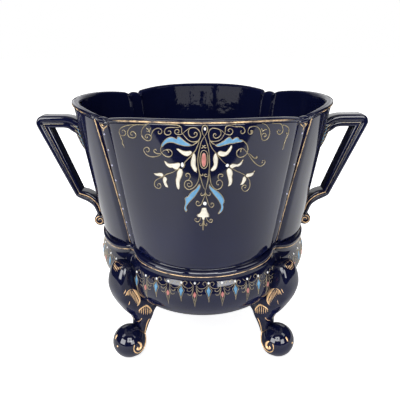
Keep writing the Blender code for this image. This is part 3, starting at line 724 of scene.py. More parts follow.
# ornament of the front panel: strokes, fields and dots in mm from the panel's middle and up from the ground
panelStrokes = [
    [(-38.6, 239.7), (-40, 238.8), (-41.9, 238.1), (-45.4, 238), (-49.2, 237.5), (-52.5, 237), (-55.4, 236.2),
     (-58.4, 235), (-60.9, 233.5), (-62.6, 231.5), (-63.2, 229.4), (-62.7, 228), (-61.2, 227.3), (-59.5, 227.7),
     (-58.1, 228.7), (-57.5, 230.2), (-58, 231.6), (-59.2, 232.1), (-60.5, 231.2), (-60.6, 230.2),
     (-59.8, 230.1)],
    [(-63, 228.9), (-62.6, 226.8), (-62, 225), (-61.2, 223.8), (-61.3, 222.2), (-61.5, 220.7), (-60.6, 219.9),
     (-60.3, 217.9)],
    [(-46.9, 237.8), (-50.5, 236.7), (-52.8, 235.3), (-54.6, 233.4), (-55.8, 231.1), (-55.9, 229.1),
     (-55.1, 227.6), (-53.5, 227.1), (-51.5, 227.2), (-49.8, 228.1), (-49.2, 229.6), (-49.6, 231), (-50.6, 231.9),
     (-51.8, 232.1), (-53.1, 231.2), (-53.5, 230), (-52.8, 229.1), (-51.7, 229.4)],
    [(-38.5, 239.6), (-40.8, 238.1), (-42.6, 236.5), (-44, 234.5), (-44.8, 232.1), (-44.7, 229.9), (-43.7, 228.1),
     (-42.1, 226.9), (-40.2, 226.5), (-38.5, 227.1), (-37.6, 228.6), (-37.5, 230), (-38.4, 231), (-39.6, 231.4),
     (-41, 231.1), (-41.9, 230.1), (-41.9, 228.9), (-41.2, 228.3), (-40.3, 229), (-40.5, 229.7)],
    [(-37.6, 229.5), (-37.3, 231.4), (-36.5, 233.3), (-35.1, 235.1), (-33.2, 236.2), (-31.4, 236.5), (-30, 235.8),
     (-29.4, 234.6), (-29.9, 233.1), (-31.1, 232.4), (-32.1, 232.9), (-32.1, 233.9), (-31.5, 234.5)],
    [(-40.8, 236), (-39.6, 235.1), (-38.5, 234)],
    [(-37.3, 236.5), (-38.1, 235.1), (-38.5, 233.9), (-38.5, 232.6)],
    [(-40.9, 233.6), (-39.7, 233.6), (-38.5, 233.7)],
    [(-30.7, 217.1), (-33.4, 215.4), (-36.8, 214.4), (-39.5, 214.4), (-41.8, 215.2), (-43.4, 216.8),
     (-44.1, 218.8), (-43.4, 220.2), (-41.9, 221.3), (-40.4, 221.1), (-39.7, 219.9), (-40, 218.4), (-41, 217.7),
     (-41.9, 218.1), (-41.9, 218.8)],
    [(-30.6, 218.3), (-32.1, 217.4), (-34, 217.3), (-35.5, 217.9), (-36.2, 219), (-35.9, 220.1), (-34.9, 220.5),
     (-34.2, 220), (-34.6, 219.3)],
    [(-30.5, 239.9), (-27, 239.9), (-23.4, 239.7), (-20.7, 239.7), (-18.2, 239.3), (-16.5, 238.6), (-15.5, 237.4),
     (-15.5, 235.3), (-15.2, 233.7), (-14.8, 233.3)],
    [(-16.1, 238.1), (-19.3, 237.7), (-23.5, 237.5), (-25.3, 237.2), (-26.8, 236.1), (-27.6, 234.5), (-27.4, 233),
     (-26.4, 232), (-25, 232), (-23.6, 232.7), (-23, 233.9), (-23.4, 234.8), (-24.4, 235), (-25.2, 234.5)],
    [(-14.7, 233.4), (-16.3, 232.8), (-18.1, 232.7), (-19.5, 233), (-20.4, 234.2), (-20, 235.6), (-18.8, 236.3),
     (-17.7, 236), (-17.3, 235), (-17.7, 234), (-18.5, 234.1)],
    [(-14.8, 233.4), (-13.2, 235), (-11.4, 236.4), (-9.7, 237.5), (-7.4, 237.9), (-5.2, 237.4), (-3.5, 235.8),
     (-2.5, 233.7), (-2.5, 231.5), (-3.2, 229.7), (-4, 228.4), (-5.6, 227.8), (-7.4, 227.6), (-9.5, 228),
     (-11.5, 229.3), (-13, 231), (-14.2, 232.6), (-14.8, 233.4)],
    [(-9.5, 237.2), (-10.5, 236), (-10.8, 234.7), (-10.6, 233.1), (-9.8, 231.5), (-8, 230.8), (-6.3, 231.2),
     (-5, 232.4), (-4.8, 233.8), (-5.7, 234.5), (-6.7, 234.2), (-6.8, 233.3)],
    [(-30.7, 222.5), (-31, 221.1), (-31, 219.5), (-30.6, 218.2)],
    [(-8.9, 224.9), (-7.4, 225.4), (-6, 226.5), (-4.6, 227.6), (-3.4, 229.3), (-2.6, 231.4)],
    [(-30.5, 218.3), (-29, 219.9), (-26.8, 220.9), (-24.9, 221.2), (-23.5, 220.3), (-22.7, 218.8), (-23.1, 217.1),
     (-24.4, 215.8), (-26.3, 215.5), (-28.1, 216.1), (-29.5, 217.2), (-30.5, 218.3)],
    [(-27.2, 220.6), (-26.1, 220.4), (-25.4, 219.8), (-25.3, 218.8)],
    [(-3.3, 229.3), (-3.8, 226.8), (-4.7, 224.2), (-6, 221.4), (-7.5, 219.3), (-9.3, 217), (-11.5, 214.5),
     (-13.3, 212.6), (-14, 211.6), (-14, 209.8), (-14.3, 208.3), (-15.4, 207.3)],
    [(14.4, 233.4), (12.4, 235.2), (10.6, 236.3), (8.5, 237.1), (6.1, 237.5), (4.4, 236.6), (3.4, 235.1),
     (3.1, 232.9), (3.4, 230.8), (4.2, 228.5), (5.3, 227.9), (6.9, 227.8), (9.4, 228.1), (11.4, 228.9),
     (12.8, 230.5), (13.8, 232.4), (14.4, 233.4)],
    [(10.8, 235.8), (11.6, 234.5), (11.6, 232.7), (10.4, 231), (8.7, 230.2), (7.3, 230.5), (6.5, 231.8),
     (6.6, 233), (7.6, 233.5), (8.3, 232.8), (8, 232)],
    [(14.4, 233.5), (15.9, 232.5), (18.1, 232.2), (19.5, 233), (20, 234.5), (19.5, 235.9), (18.3, 236.6),
     (17.2, 236.4), (16.6, 235.5), (17.1, 234.7), (17.8, 234.8)],
    [(22, 239.9), (20.3, 239.5), (18.5, 239.2), (17, 239), (15.8, 238.7), (14.8, 237.7), (14.7, 235.8),
     (14.5, 233.7)],
    [(16.5, 238.7), (19.3, 238.3), (22.1, 237.9), (24.9, 237.8), (26.7, 237.4), (28.1, 236.1), (28.7, 234.6),
     (28.2, 233.2), (27.1, 232.6), (26, 233.1), (25.6, 234.2), (26.1, 234.9)],
    [(31.5, 232), (30.9, 233.8), (31.2, 235.6), (32.2, 236.8), (34, 237.3), (36.2, 237.1), (38.2, 236.1),
     (39.6, 234.5), (40.4, 232.5), (40.9, 230.2), (41.5, 227.9), (42.4, 226.4), (43.8, 225.8), (45.5, 226.2),
     (46.8, 227.4), (47.4, 229), (47.6, 231.7), (46.7, 234.3), (45.2, 236.4), (43.3, 238), (41, 238.8)],
    [(31.5, 232), (32.7, 231.7), (33.9, 232.2), (34.3, 233.4), (33.8, 234.4), (33, 234.3), (33, 233.3)],
    [(40.9, 235.1), (41.7, 233.7), (42, 232.4)],
    [(42.1, 232.7), (42.9, 233.7), (44.4, 234.1), (45.2, 233.6)],
    [(41.7, 230), (42.1, 231), (43.5, 231.3), (44.8, 230.4), (44.8, 229.1), (43.7, 228.5), (43, 229.2)],
    [(48.8, 238), (52, 237.5), (54.9, 237.2), (56.6, 236.2), (57.6, 234.5), (58.3, 232.5), (58.5, 230.9),
     (57.8, 229.3), (56.3, 228.8), (54.6, 229.3), (53.6, 230.6), (54, 231.8), (55.3, 232.2), (56.3, 231.4),
     (55.8, 230.7)],
    [(57.8, 234.7), (58.4, 235.5), (59.9, 234.9), (61.8, 233.8), (63.3, 232.2), (63.9, 230.2), (63.7, 227.8),
     (63.2, 225.9), (62.2, 224.1), (61.7, 222.2), (61, 219.9), (60.9, 217.5), (60.2, 215.5)],
    [(4.3, 228.5), (5.3, 227.1), (6.3, 226.2), (8.2, 225.1)],
    [(3.9, 229.4), (4.1, 226.7), (5, 224.1), (6.3, 221.8), (8.1, 219.6), (9.9, 217.3), (11.6, 214.9),
     (13.6, 212.4), (15.9, 210.2)],
    [(27.5, 227.5), (28.8, 226.4), (29.9, 225), (31, 223.4), (31.5, 221.4), (31.6, 219.5), (31.3, 217.8)],
    [(31.3, 217.7), (30.1, 219.3), (28.8, 220.7), (27.2, 221.6), (25.3, 221.3), (23.8, 219.8), (23.4, 217.9),
     (24.1, 216), (25.8, 214.8), (27.7, 214.9), (29.3, 215.6), (30.6, 216.7), (31.3, 217.7)],
    [(27, 221.5), (26.4, 220.2), (26.3, 218.7)],
    [(31.3, 217.7), (32.8, 215.5), (34.9, 212.5), (37.4, 209.3), (40, 206.9), (42.1, 205.7), (44.1, 206),
     (45.5, 207.2), (45.9, 208.8), (44.9, 209.9), (43.7, 209.9), (43.3, 208.8)],
    [(31.9, 217.2), (33.5, 216.3), (35.1, 214.7), (36.3, 213.4), (37.6, 212.6), (39, 212.8), (39.3, 213.7),
     (38.4, 214.2)],
    [(0.2, 231.4), (-0.9, 233.3), (-1.4, 235.8), (-1.2, 237.9), (-0.5, 239.2), (0.6, 239.5), (1.8, 238.9),
     (2.5, 237.2), (2.1, 235.1), (1.3, 233.3), (0.2, 231.4)],
    [(0.2, 231.6), (1, 229.7), (1.7, 227.5), (2.4, 225.3), (3.1, 222.3), (3.6, 219.3), (3.8, 215.5), (4, 211.6),
     (3.9, 207.7), (3.6, 204.9), (3.3, 202.1), (3, 199.3), (2.7, 196.9), (2.1, 194.4), (1.8, 192), (1.1, 189.6)],
    [(0.2, 231.6), (-0.9, 229.8), (-1.8, 227.9), (-2.5, 225.7), (-3.1, 222.7), (-3.7, 220.1), (-4.2, 217),
     (-4.5, 214), (-4.3, 210.5), (-3.9, 207.3), (-3.4, 204.3), (-2.8, 201.4), (-2, 198.2), (-1.1, 194.9),
     (-0.3, 192.2), (0.9, 189.6)],
    [(4, 206.1), (4.1, 203.7), (4.3, 200.9), (4.6, 198.1), (5.4, 194.8), (6.8, 192.1), (8.9, 190.3),
     (11.2, 190.4), (12.9, 191.7), (13.7, 194), (13.5, 196), (12.4, 197.5), (11.2, 197.8), (10, 197.1),
     (9.3, 195.7), (9.6, 194.2), (10.5, 193.8), (11, 194.6)],
    [(11.3, 197.8), (10.4, 199.5), (10.4, 201.1), (11, 202.2), (12.1, 202.6), (13.4, 202.3), (13.9, 201.2),
     (13.1, 200.5), (12.3, 200.8)],
    [(-3.7, 205.8), (-3.5, 203), (-3.7, 199.8), (-4.3, 197.3), (-5.4, 194.9), (-6.8, 192.8), (-8.9, 191),
     (-11.2, 190.1), (-13, 190.9), (-14.3, 192.6), (-14.4, 194.9), (-13.6, 196.8), (-12.1, 197.7), (-10.3, 197.5),
     (-9.1, 196.1), (-8.8, 194.1), (-9.8, 192.8), (-11.1, 192.5), (-12.2, 193.5), (-12.3, 194.8), (-11.4, 195.4),
     (-10.6, 194.8)],
    [(-11.5, 197.9), (-10.3, 199.8), (-10.1, 201.6), (-10.8, 202.9), (-12, 203.4), (-13.1, 202.7), (-13.3, 201.6),
     (-12.7, 200.8), (-12, 201.3)],
    [(-2, 223.1), (-1.3, 223), (-0.5, 224), (0.3, 224.9), (1.3, 224.9)],
    [(-1.4, 225.1), (-0.5, 224.3), (0.3, 223.4), (1.1, 223.1), (1.6, 223.6)],
    [(-0.2, 221.3), (-1.5, 220.7), (-2.4, 218.9), (-2.8, 216.3), (-2.9, 213.2), (-2.5, 210.1), (-1.5, 208.1),
     (-0.1, 207.4), (1.4, 208.1), (2.4, 210.1), (2.8, 213.2), (2.7, 216.6), (2.2, 219.3), (1.2, 220.8),
     (-0.2, 221.3)],
    [(-2.7, 202.8), (-1.9, 201.8), (-1, 201.8), (-0.8, 202.7), (-1.3, 203.2)],
    [(2.6, 201.1), (1.5, 200.9), (0.4, 201.5), (0.4, 202.5), (1.4, 202.9), (2.3, 202.2)],
    [(-1.8, 187.5), (-2.5, 186.5), (-1.9, 185.2), (-0.7, 185.5), (0.2, 186.1), (1, 187.4), (2, 186.1),
     (3.3, 185.2), (4.4, 185.7), (4.8, 187), (4.1, 187.8)],
    [(1, 189.9), (1, 187.4), (0.9, 185.4)],
    [(0.9, 186.1), (-0.1, 183.1), (-0.9, 180.9), (-1.5, 178.9), (-2.6, 177.1), (-4.2, 176.4), (-5.6, 177.2),
     (-6, 178.7), (-5.5, 180), (-4.4, 180.3), (-3.7, 179.4), (-4, 178.5)],
    [(1.2, 186), (2, 183.1), (2.6, 181), (3.2, 178.4), (4.2, 176.2), (5.6, 175), (6.9, 175.6), (7.5, 177.1),
     (6.9, 178.5), (5.8, 178.6), (5.3, 177.6), (6, 177)],
    [(-2.4, 166.8), (-2.7, 165.1), (-3.4, 163.3), (-4.6, 162.2), (-6.2, 162.5), (-7.1, 163.8), (-6.9, 164.9),
     (-6, 165.2), (-5.4, 164.3), (-5.9, 163.7)],
    [(1.6, 166.3), (2.5, 163.9), (3.8, 162.3), (5.3, 161.5), (6.4, 162.3), (6.5, 163.7), (5.5, 164.4),
     (4.6, 163.8), (5, 162.9)],
    [(-2.8, 160.8), (-3.5, 160.1), (-3.2, 158.9), (-2.2, 158.6), (-1.4, 159.7), (-0.5, 161.4), (0.6, 159.7),
     (1.3, 158.7), (2.2, 159.1), (2.3, 160.3), (1.7, 160.9)],
    [(-19.7, 205.8), (-21.2, 204.7), (-23.5, 203.2), (-25.8, 202.3), (-27.7, 201.4), (-28.6, 200.8),
     (-29.8, 199.7), (-31, 198.7), (-33.2, 197.7), (-35.3, 196.2), (-36.8, 194.5), (-37.5, 192.4), (-37.3, 190.3),
     (-36.1, 189), (-34.4, 188.7), (-33, 189.6), (-32.4, 191.3), (-33.1, 192.7), (-34.2, 192.9), (-35.2, 191.8),
     (-34.7, 190.8)],
    [(-17.3, 207.1), (-18.5, 206.4), (-19.7, 205.8)],
    [(19.9, 206.7), (21.8, 205.5), (23.9, 204.1), (26.2, 202.9), (28.2, 201.7), (29.4, 200.9), (31, 199.5)],
    [(31.1, 198.9), (32.7, 197.8), (34, 195.9), (34.7, 193.7), (35, 190.7), (34.4, 188.2), (33.1, 186.7),
     (31.4, 186.3), (29.6, 187.4), (28.6, 189.3), (28.8, 190.9), (30, 191.5), (31.3, 191.7), (32, 190.6),
     (31.3, 189.6)],
    [(38.3, 202.6), (37.5, 201.7), (36.7, 200.7)],
    [(28.7, 213), (28, 212), (27.1, 210.7)],
    [(-5.7, 205.2), (-5.3, 204.1)],
]
panelFields = [
    ("blue", [(-30.4, 222.6), (-30.2, 224.2), (-29.1, 226.2), (-27.2, 228.4), (-24.9, 230), (-22.8, 230.5),
     (-21, 230), (-19.6, 229.2), (-18.9, 229.2), (-18.7, 230.5), (-18.1, 231.4), (-17.1, 230.9), (-15.4, 229.5),
     (-13.7, 228), (-11.6, 226.6), (-9.6, 225.5), (-8.5, 224.9)],
     [(-30.4, 222.6), (-29.5, 223.2), (-28.3, 224.6), (-26.5, 226), (-24.4, 226.7), (-21.8, 226.7),
      (-19.4, 225.9), (-16.9, 225.1), (-14.1, 224.5), (-11.3, 224.4), (-8.5, 224.9)]),
    ("blue", [(7.9, 224.9), (9.8, 225.8), (11.9, 226.8), (14, 228.1), (15.7, 229.4), (17.1, 230.4), (18.3, 230.4),
     (19.1, 229.3), (20, 228.6), (21, 229.2), (22.8, 230.1), (24, 229.8), (24.6, 228.6), (25.8, 227.9),
     (27.1, 227.8), (27.9, 227.1)],
     [(7.9, 224.9), (9.1, 224.2), (11.2, 224.2), (14, 224.9), (16.2, 225.4), (18.3, 225.8), (21.1, 226),
      (24, 226.4), (26.2, 226.6), (27.9, 227.1)]),
    ("blue", [(-3.4, 194.9), (-4.1, 193.6), (-5, 192.2), (-6.7, 190.1), (-9, 188.3), (-10.5, 186.6),
     (-11.8, 184.3), (-13.3, 183.4), (-14.3, 182.3), (-14, 180.6), (-14, 178), (-14.5, 176.2), (-14.9, 174),
     (-14.6, 172.2), (-13.8, 170.6)],
     [(-3.4, 194.9), (-2.8, 193.4), (-3, 191.7), (-3.9, 189.6), (-5.2, 187.4), (-6.7, 184.8), (-8.7, 182.2),
      (-10.7, 179.9), (-12.3, 177.7), (-13.4, 175.7), (-13.6, 173.8), (-13, 172.4), (-13.8, 170.6)]),
    ("blue", [(4.1, 194.6), (4.8, 193), (6.3, 191.3), (8.6, 189.6), (11.3, 187.4), (13, 185.4), (14.4, 183),
     (15.2, 180.8), (15.2, 178.8), (14.5, 177.3), (14.8, 174.7), (14.5, 172.5), (13.5, 170.8), (12.2, 169.6),
     (10.9, 169)],
     [(4.1, 194.6), (4, 192.2), (5.2, 189.6), (7.1, 186.4), (9.1, 183.7), (10.9, 181.1), (12.2, 178.4),
      (13.1, 176.1), (13.2, 173.9), (12.5, 171.9), (10.9, 169)]),
    ("white", [(-19.6, 221.9), (-18.1, 222.1), (-16.7, 221.5), (-14.9, 220.8), (-12.4, 220.5), (-9.9, 220.8),
     (-8.9, 220.3), (-8.5, 219.5)],
     [(-19.6, 221.9), (-17.8, 220.2), (-16, 218.6), (-13.9, 217.2), (-11.8, 216.9), (-9.8, 217.9),
      (-8.5, 219.5)]),
    ("white", [(-7.3, 219.4), (-8.4, 217), (-9.2, 213.9), (-9.5, 211.6), (-9.2, 209.2), (-8.1, 206.9),
     (-6.9, 205.2), (-5.8, 204.6)],
     [(-7.3, 219.4), (-6.3, 217.8), (-5.9, 215.5), (-6, 212.4), (-6.1, 210.1), (-5.6, 208.3), (-5.1, 206.7),
      (-5.8, 204.6)]),
    ("white", [(-28.9, 212), (-27.6, 211.4), (-26.5, 210.4), (-24.7, 210.2), (-21.7, 210.6), (-18.8, 211.3),
     (-17.4, 210.9), (-17.1, 209.5)],
     [(-28.9, 212), (-27.8, 209.3), (-26.3, 207.8), (-24.4, 207), (-22.9, 207.3), (-21.5, 206.2), (-19.7, 206),
      (-18.2, 207.5), (-17.1, 209.5)]),
    ("white", [(-17.4, 206.8), (-18.7, 205.5), (-19.8, 203.5), (-20, 200.7), (-20.7, 198.2), (-20.8, 195.7),
     (-20.6, 193.3), (-20, 191), (-18.9, 189.6)],
     [(-17.4, 206.8), (-15.9, 205.8), (-15.5, 203.8), (-16.1, 201.4), (-17.3, 198.5), (-18.1, 195.9),
      (-18.1, 193.5), (-18.2, 191.4), (-18.9, 189.6)]),
    ("white", [(-37.5, 200.9), (-35.4, 201.2), (-33.4, 201.8), (-31.5, 202), (-30.4, 201.2), (-30.1, 200.2)],
     [(-37.5, 200.9), (-36.2, 199.9), (-34.7, 199.4), (-32.8, 199.2), (-31.2, 199.1), (-30.1, 200.2)]),
    ("white", [(-29.2, 199.4), (-30.4, 198.1), (-30.7, 196.4), (-30.3, 194.3), (-29.7, 192.5), (-28.6, 191),
     (-27, 190.6)],
     [(-29.2, 199.4), (-27.9, 198.5), (-27.5, 197.3), (-28.1, 195.7), (-28, 193.8), (-27.1, 192.3),
      (-27, 190.6)]),
    ("white", [(9.6, 219.1), (10.6, 220.2), (12, 220.5), (13.5, 219.9), (15.3, 219.6), (16.7, 220.7), (18, 222.5),
     (18.7, 223.8), (19.6, 224.6)],
     [(9.6, 219.1), (10.3, 217.6), (11.7, 216.7), (13.9, 216.3), (16.1, 217.1), (17.8, 218.7), (19.2, 220.9),
      (19.8, 222.8), (19.6, 224.6)]),
    ("white", [(8.1, 219.2), (6.9, 216.9), (6.6, 213.9), (7.1, 210.7), (6.2, 208.2), (4.9, 206.5), (5.2, 205.3)],
     [(8.1, 219.2), (9.1, 217.6), (9.8, 215.3), (9.9, 213), (9.6, 209.9), (8.9, 207.3), (7.1, 205.5),
      (5.2, 205.3)]),
    ("white", [(18.6, 208.3), (19.2, 209.3), (20.7, 210.1), (22.5, 209.8), (24.4, 209.4), (26.1, 210.1),
     (27.2, 211.1), (28.1, 211.9)],
     [(18.6, 208.3), (19.7, 207), (20.8, 206.6), (21.9, 207.3), (23.4, 207.8), (25.2, 207.8), (26.8, 208.9),
      (27.8, 210.5), (28.1, 211.9)]),
    ("white", [(18.1, 207), (17, 206), (16.5, 204.6), (16.8, 202.6), (17.7, 199.4), (18.3, 196.5), (18.4, 194),
     (17.9, 192.2)],
     [(18.1, 207), (19.9, 205.9), (20.8, 204), (21.1, 202), (20.6, 199.6), (21, 197.1), (20.7, 194.7),
      (20, 193.1), (17.9, 192.2)]),
    ("white", [(31.2, 199.6), (32.2, 200.9), (34.4, 201), (36, 201.2), (37.5, 201.6)],
     [(31.2, 199.6), (32.3, 198.2), (34, 198.2), (35.8, 198.6), (36.9, 199.7), (37.5, 201.6)]),
    ("white", [(30.3, 199.1), (29.1, 197.9), (28.7, 195.8), (28.2, 194.1), (27.3, 192.4)],
     [(30.3, 199.1), (31.5, 197.5), (31.6, 195.8), (30.7, 194.3), (29.4, 192.6), (27.3, 192.4)]),
    ("white", [(0.1, 174.6), (-1.4, 174.3), (-1.8, 173.2), (-2.5, 171), (-3.6, 169.4), (-5.1, 168.6),
     (-5.3, 167.5), (-4.2, 166.5), (-2.5, 167), (-1.8, 166.7), (-1.4, 165.1), (-0.5, 163.6)],
     [(0.1, 174.6), (1.6, 174.4), (2.1, 173), (2.8, 170.9), (3.7, 168.9), (4.1, 167.1), (3.8, 166.3), (2.7, 167),
      (1.3, 167.1), (0.7, 165.7), (0.2, 164.2), (-0.5, 163.6)]),
    ("pink", [(-0.2, 219.5), (-1.2, 218.3), (-1.7, 216.3), (-1.9, 214), (-1.6, 211.3), (-1, 209.5),
     (-0.1, 208.5)],
     [(-0.2, 219.5), (1, 218.3), (1.5, 216.3), (1.6, 214), (1.4, 211.2), (0.8, 209.5), (-0.1, 208.5)]),
]
panelStems = [
    [(-0.4, 163.9), (-0.3, 161.5), (-0.7, 158.3), (-0.7, 154.7)],
]
panelDots = [(0.6, 237, 0.86, 1.28, "bead"), (-15.6, 209.9, 1.16, 1.89, "bead"),
             (16.9, 209.2, 1.18, 1.26, "bead"), (0.7, 178.4, 1.37, 1.57, "bead"),
             (-40.5, 229.2, 0.53, 0.53, "gold"), (62.1, 228.3, 0.84, 0.82, "gold"),
             (43.5, 208.5, 0.66, 0.66, "gold"), (38.3, 213.4, 0.47, 0.48, "gold"),
             (33.4, 233.4, 0.67, 0.74, "gold"), (43.7, 229.1, 0.63, 0.54, "gold"),
             (26.3, 219.3, 0.52, 0.69, "gold"), (-25.3, 219.2, 0.44, 0.69, "gold"),
             (31.3, 189.7, 0.72, 0.60, "gold"), (-6.8, 233.4, 0.48, 0.50, "gold"),
             (10.6, 194.1, 0.60, 0.66, "gold"), (1, 187, 0.60, 0.84, "gold")]


panelTop = 240.2                        # nothing on the panel is laid higher than this, in mm


def panelPlace(x, y, proud):
    return panelPoint(x / 1000, min(y, panelTop) / 1000, proud=proud)


def buildPanel():
    strokes = [layStroke(keys, panelPlace, relief["stroke"]) for keys in panelStrokes]
    strokes += [layStroke(keys, panelPlace, relief["stroke"] * relief["stemWidth"], tip=0.7) for keys in panelStems]
    addStrokes("panelScrolls", strokes, panelGold)
    outlines = []
    for colour in ("white", "blue", "pink"):
        mesh = bmesh.new()
        for name, first, second in panelFields:
            if name == colour:
                addField(mesh, first, second, panelPlace, relief["fieldRise"])
                width = relief["outline"] * relief["blueOutline" if colour == "blue" else "otherOutline"]
                outlines += [layStroke(edge, panelPlace, width, tip=1.0) for edge in (first, second)]
        addPiece("panel" + colour.capitalize(), closeFields(mesh), enamels[colour])
    addStrokes("panelOutlines", outlines, panelGold)
    for colour, material in (("bead", enamels["bead"]), ("gold", panelGold)):
        mesh = bmesh.new()
        for x, y, halfX, halfY, name in panelDots:
            if name == colour:
                addDot(mesh, x, y, halfX, halfY, panelPlace, relief["dotRise"])
        addPiece("panelDots" + colour.capitalize(), mesh, material)


buildPanel()
print("front ornament made")


# the border under the ring: dots with hung pendants, in mm from each dot and down
borderShape = {"firstShare": 0.052, "step": 0.153, "units": (-6, 5), "turn": 19.8, "fall": 9.5, "mmPerDegree": 0.735,
               "mmPerShare": 77, "lastShare": 0.995, "dot": 0.95, "dotHeight": 1.15,
               "scroll": 0.58, "tail": 0.9, "pinkTail": 0.7}
pinkStrokes = [[(1.1, 1.4), (3.2, 4.0), (6.2, 4.6), (9.0, 3.6), (10.6, 1.6), (9.9, -0.6), (8.2, -1.1), (6.8, 0.5),
                (8.3, 1.9)],
               [(2.0, 1.3), (3.6, -0.2), (4.3, -1.3)],
               [(0.8, 2.2), (2.3, 5.4), (4.5, 7.4), (6.6, 6.6), (5.8, 5.5)],
               [(1.1, 4.6), (2.3, 8.2), (3.4, 10.6), (5.5, 10.4), (5.9, 9.2)],
               [(1.0, 4.4), (1.9, 9.6), (1.2, 14.5), (0.2, 19.5), (0.0, 23.6)]]
kiteEdge = [(0, 2.6), (0.7, 4.6), (1.9, 6.4), (1.0, 9.0), (0, 12.4)]
blueStrokes = [[(0.2, 1.2), (1.2, 4.2), (2.9, 6.4), (1.5, 9.4), (0.7, 12.4), (0.1, 15.0)]]
blueTail = [(0.0, 12.0), (0.1, 14.5), (0.2, 17.6)]
dropEdge = [(0, 7.6), (1.2, 9.4), (1.4, 10.6), (0, 13.4)]
pinkTail = [(0, 13.0), (0, 16.5)]


def borderPlace(quarter, unit):
    shape = borderShape
    share = shape["firstShare"] + shape["step"] * unit
    turn = shape["turn"] - shape["fall"] * share ** 2

    def place(x, y, proud):
        across = max(-shape["lastShare"], min(shape["lastShare"], share + x / shape["mmPerShare"]))
        return bulbPoint(math.radians(turn - y / shape["mmPerDegree"]), across, quarter, proud=proud)
    return place


def buildBorder(quarter):
    shape, strokes = borderShape, []
    meshes = {name: bmesh.new() for name in ("bead", "blue", "pink")}
    for unit in range(shape["units"][0], shape["units"][1] + 1):
        place = borderPlace(quarter, unit)
        addDot(meshes["bead"], 0, 0, shape["dot"], shape["dot"] * shape["dotHeight"], place, relief["dotRise"])
        blue = unit % 2 == 0
        for keys in blueStrokes if blue else pinkStrokes:
            for side in (1, -1):
                strokes.append(layStroke([(x * side, y) for x, y in keys], place,
                                         relief["stroke"] * shape["scroll"]))
        if blue:
            strokes.append(layStroke(blueTail, place, relief["stroke"] * shape["tail"], tip=0.6))
            addField(meshes["blue"], [(-x, y) for x, y in kiteEdge], kiteEdge, place, relief["fieldRise"])
        else:
            strokes.append(layStroke(pinkTail, place, relief["stroke"] * shape["pinkTail"]))
            addField(meshes["pink"], [(-x, y) for x, y in dropEdge], dropEdge, place, relief["fieldRise"])
    addStrokes("borderScrolls%d" % quarter, strokes, panelGold)
    addPiece("borderDots%d" % quarter, meshes["bead"], enamels["bead"])
    addPiece("borderBlue%d" % quarter, closeFields(meshes["blue"]), enamels["blue"])
    addPiece("borderPink%d" % quarter, closeFields(meshes["pink"]), enamels["pink"])


for quarter in range(4):
    buildBorder(quarter)
print("border made")


# gilt edges: rim bead, ring, the lines beside the ribs, and the ribs' own marks
giltEdges = {"rim": 0.00066, "rimReach": 0.94, "rimRise": 0.0012, "rimOut": 0.0006, "rimSteps": 60,
             "ring": 0.00042, "ringAngle": -38,
             "notch": 0.00044, "notchFoot": 0.1175, "notchRise": 0.0005, "notchOut": 0.0001,
             "notchShares": (0.997, 0.968), "notchSteps": 40,
             "dotStep": 0.0144, "dotFirst": 0.0094, "dot": 0.72, "dotHeight": 1.2, "lowestDot": 0.008}


def buildGiltEdges():
    look = giltEdges
    rims = []
    for quarter in range(4):
        rim, radii = [], []
        for step in range(look["rimSteps"] + 1):
            share = mix(-look["rimReach"], look["rimReach"], step / look["rimSteps"])
            rim.append(lobePoint(wallLevel(beadFoot + look["rimRise"], outward=look["rimOut"]), share, quarter))
            radii.append(look["rim"] * mix(1.0, 0.4, abs(share / look["rimReach"]) ** 12))
        rims.append((rim, radii))
    addStrokes("rimGilding", rims, rimGold)
    ring = levelPoints(ringLevel(math.radians(look["ringAngle"])))
    addStrokes("ringGilding", [(ring, [look["ring"]] * len(ring))], ringGold, closed=True)
    lines = []
    for quarter in (1, 3):
        for side in (-1, 1):
            line = []
            for step in range(look["notchSteps"] + 1):
                along = step / look["notchSteps"]
                height = mix(look["notchFoot"], beadFoot + look["notchRise"], along)
                line.append(lobePoint(wallLevel(height, outward=look["notchOut"]),
                                      side * mix(*look["notchShares"], along ** 2), quarter))
            lines.append((line, [look["notch"]] * len(line)))
    addStrokes("ribLines", lines, ringGold)


def ribPlace(quarter):
    def place(x, y, proud):             # x in tenths of the rib's half width, y in mm down from the bead
        turn = math.radians(90) * max(-1.0, min(1.0, x / 10))
        return ribPoint(wallLevel(beadFoot - y / 1000, outward=proud), turn, quarter)
    return place


ribStrokes = [([(-5, 0.3), (-2, 2.4), (0, 4.4)], 1.1), ([(5.5, 1.0), (3, 2.8), (0, 4.6)], 1.4),
              ([(-0.5, 0.2), (1.6, 1.6)], 1.8), ([(0, 4.4), (0, 6.6)], 1.0)]


def buildRibMarks(quarter):
    place = ribPlace(quarter)
    strokes = [layStroke(keys, place, relief["stroke"] * width) for keys, width in ribStrokes]
    addStrokes("ribMarks%d" % quarter, strokes, ringGold)
    mesh = bmesh.new()
    dot, down = giltEdges["dot"], giltEdges["dotFirst"]
    while down < potShape["height"] - potShape["waistHeight"] - giltEdges["lowestDot"]:
        middle = place(0, down * 1000, 0.0)
        out = (place(0, down * 1000, 0.001) - middle).normalized()
        up = (place(0, down * 1000 - 1, 0.0) - middle).normalized()
        addOval(mesh, middle, up.cross(out), up, out, dot, dot * giltEdges["dotHeight"], relief["dotRise"])
        frontRight = middle.x > 0 and middle.y < 0      # its dots are twice as far apart
        down += giltEdges["dotStep"] * (2 if frontRight else 1)
    addPiece("ribDots%d" % quarter, mesh, enamels["lilac"])


buildGiltEdges()
for quarter in range(4):
    buildRibMarks(quarter)
print("gilt edges made")


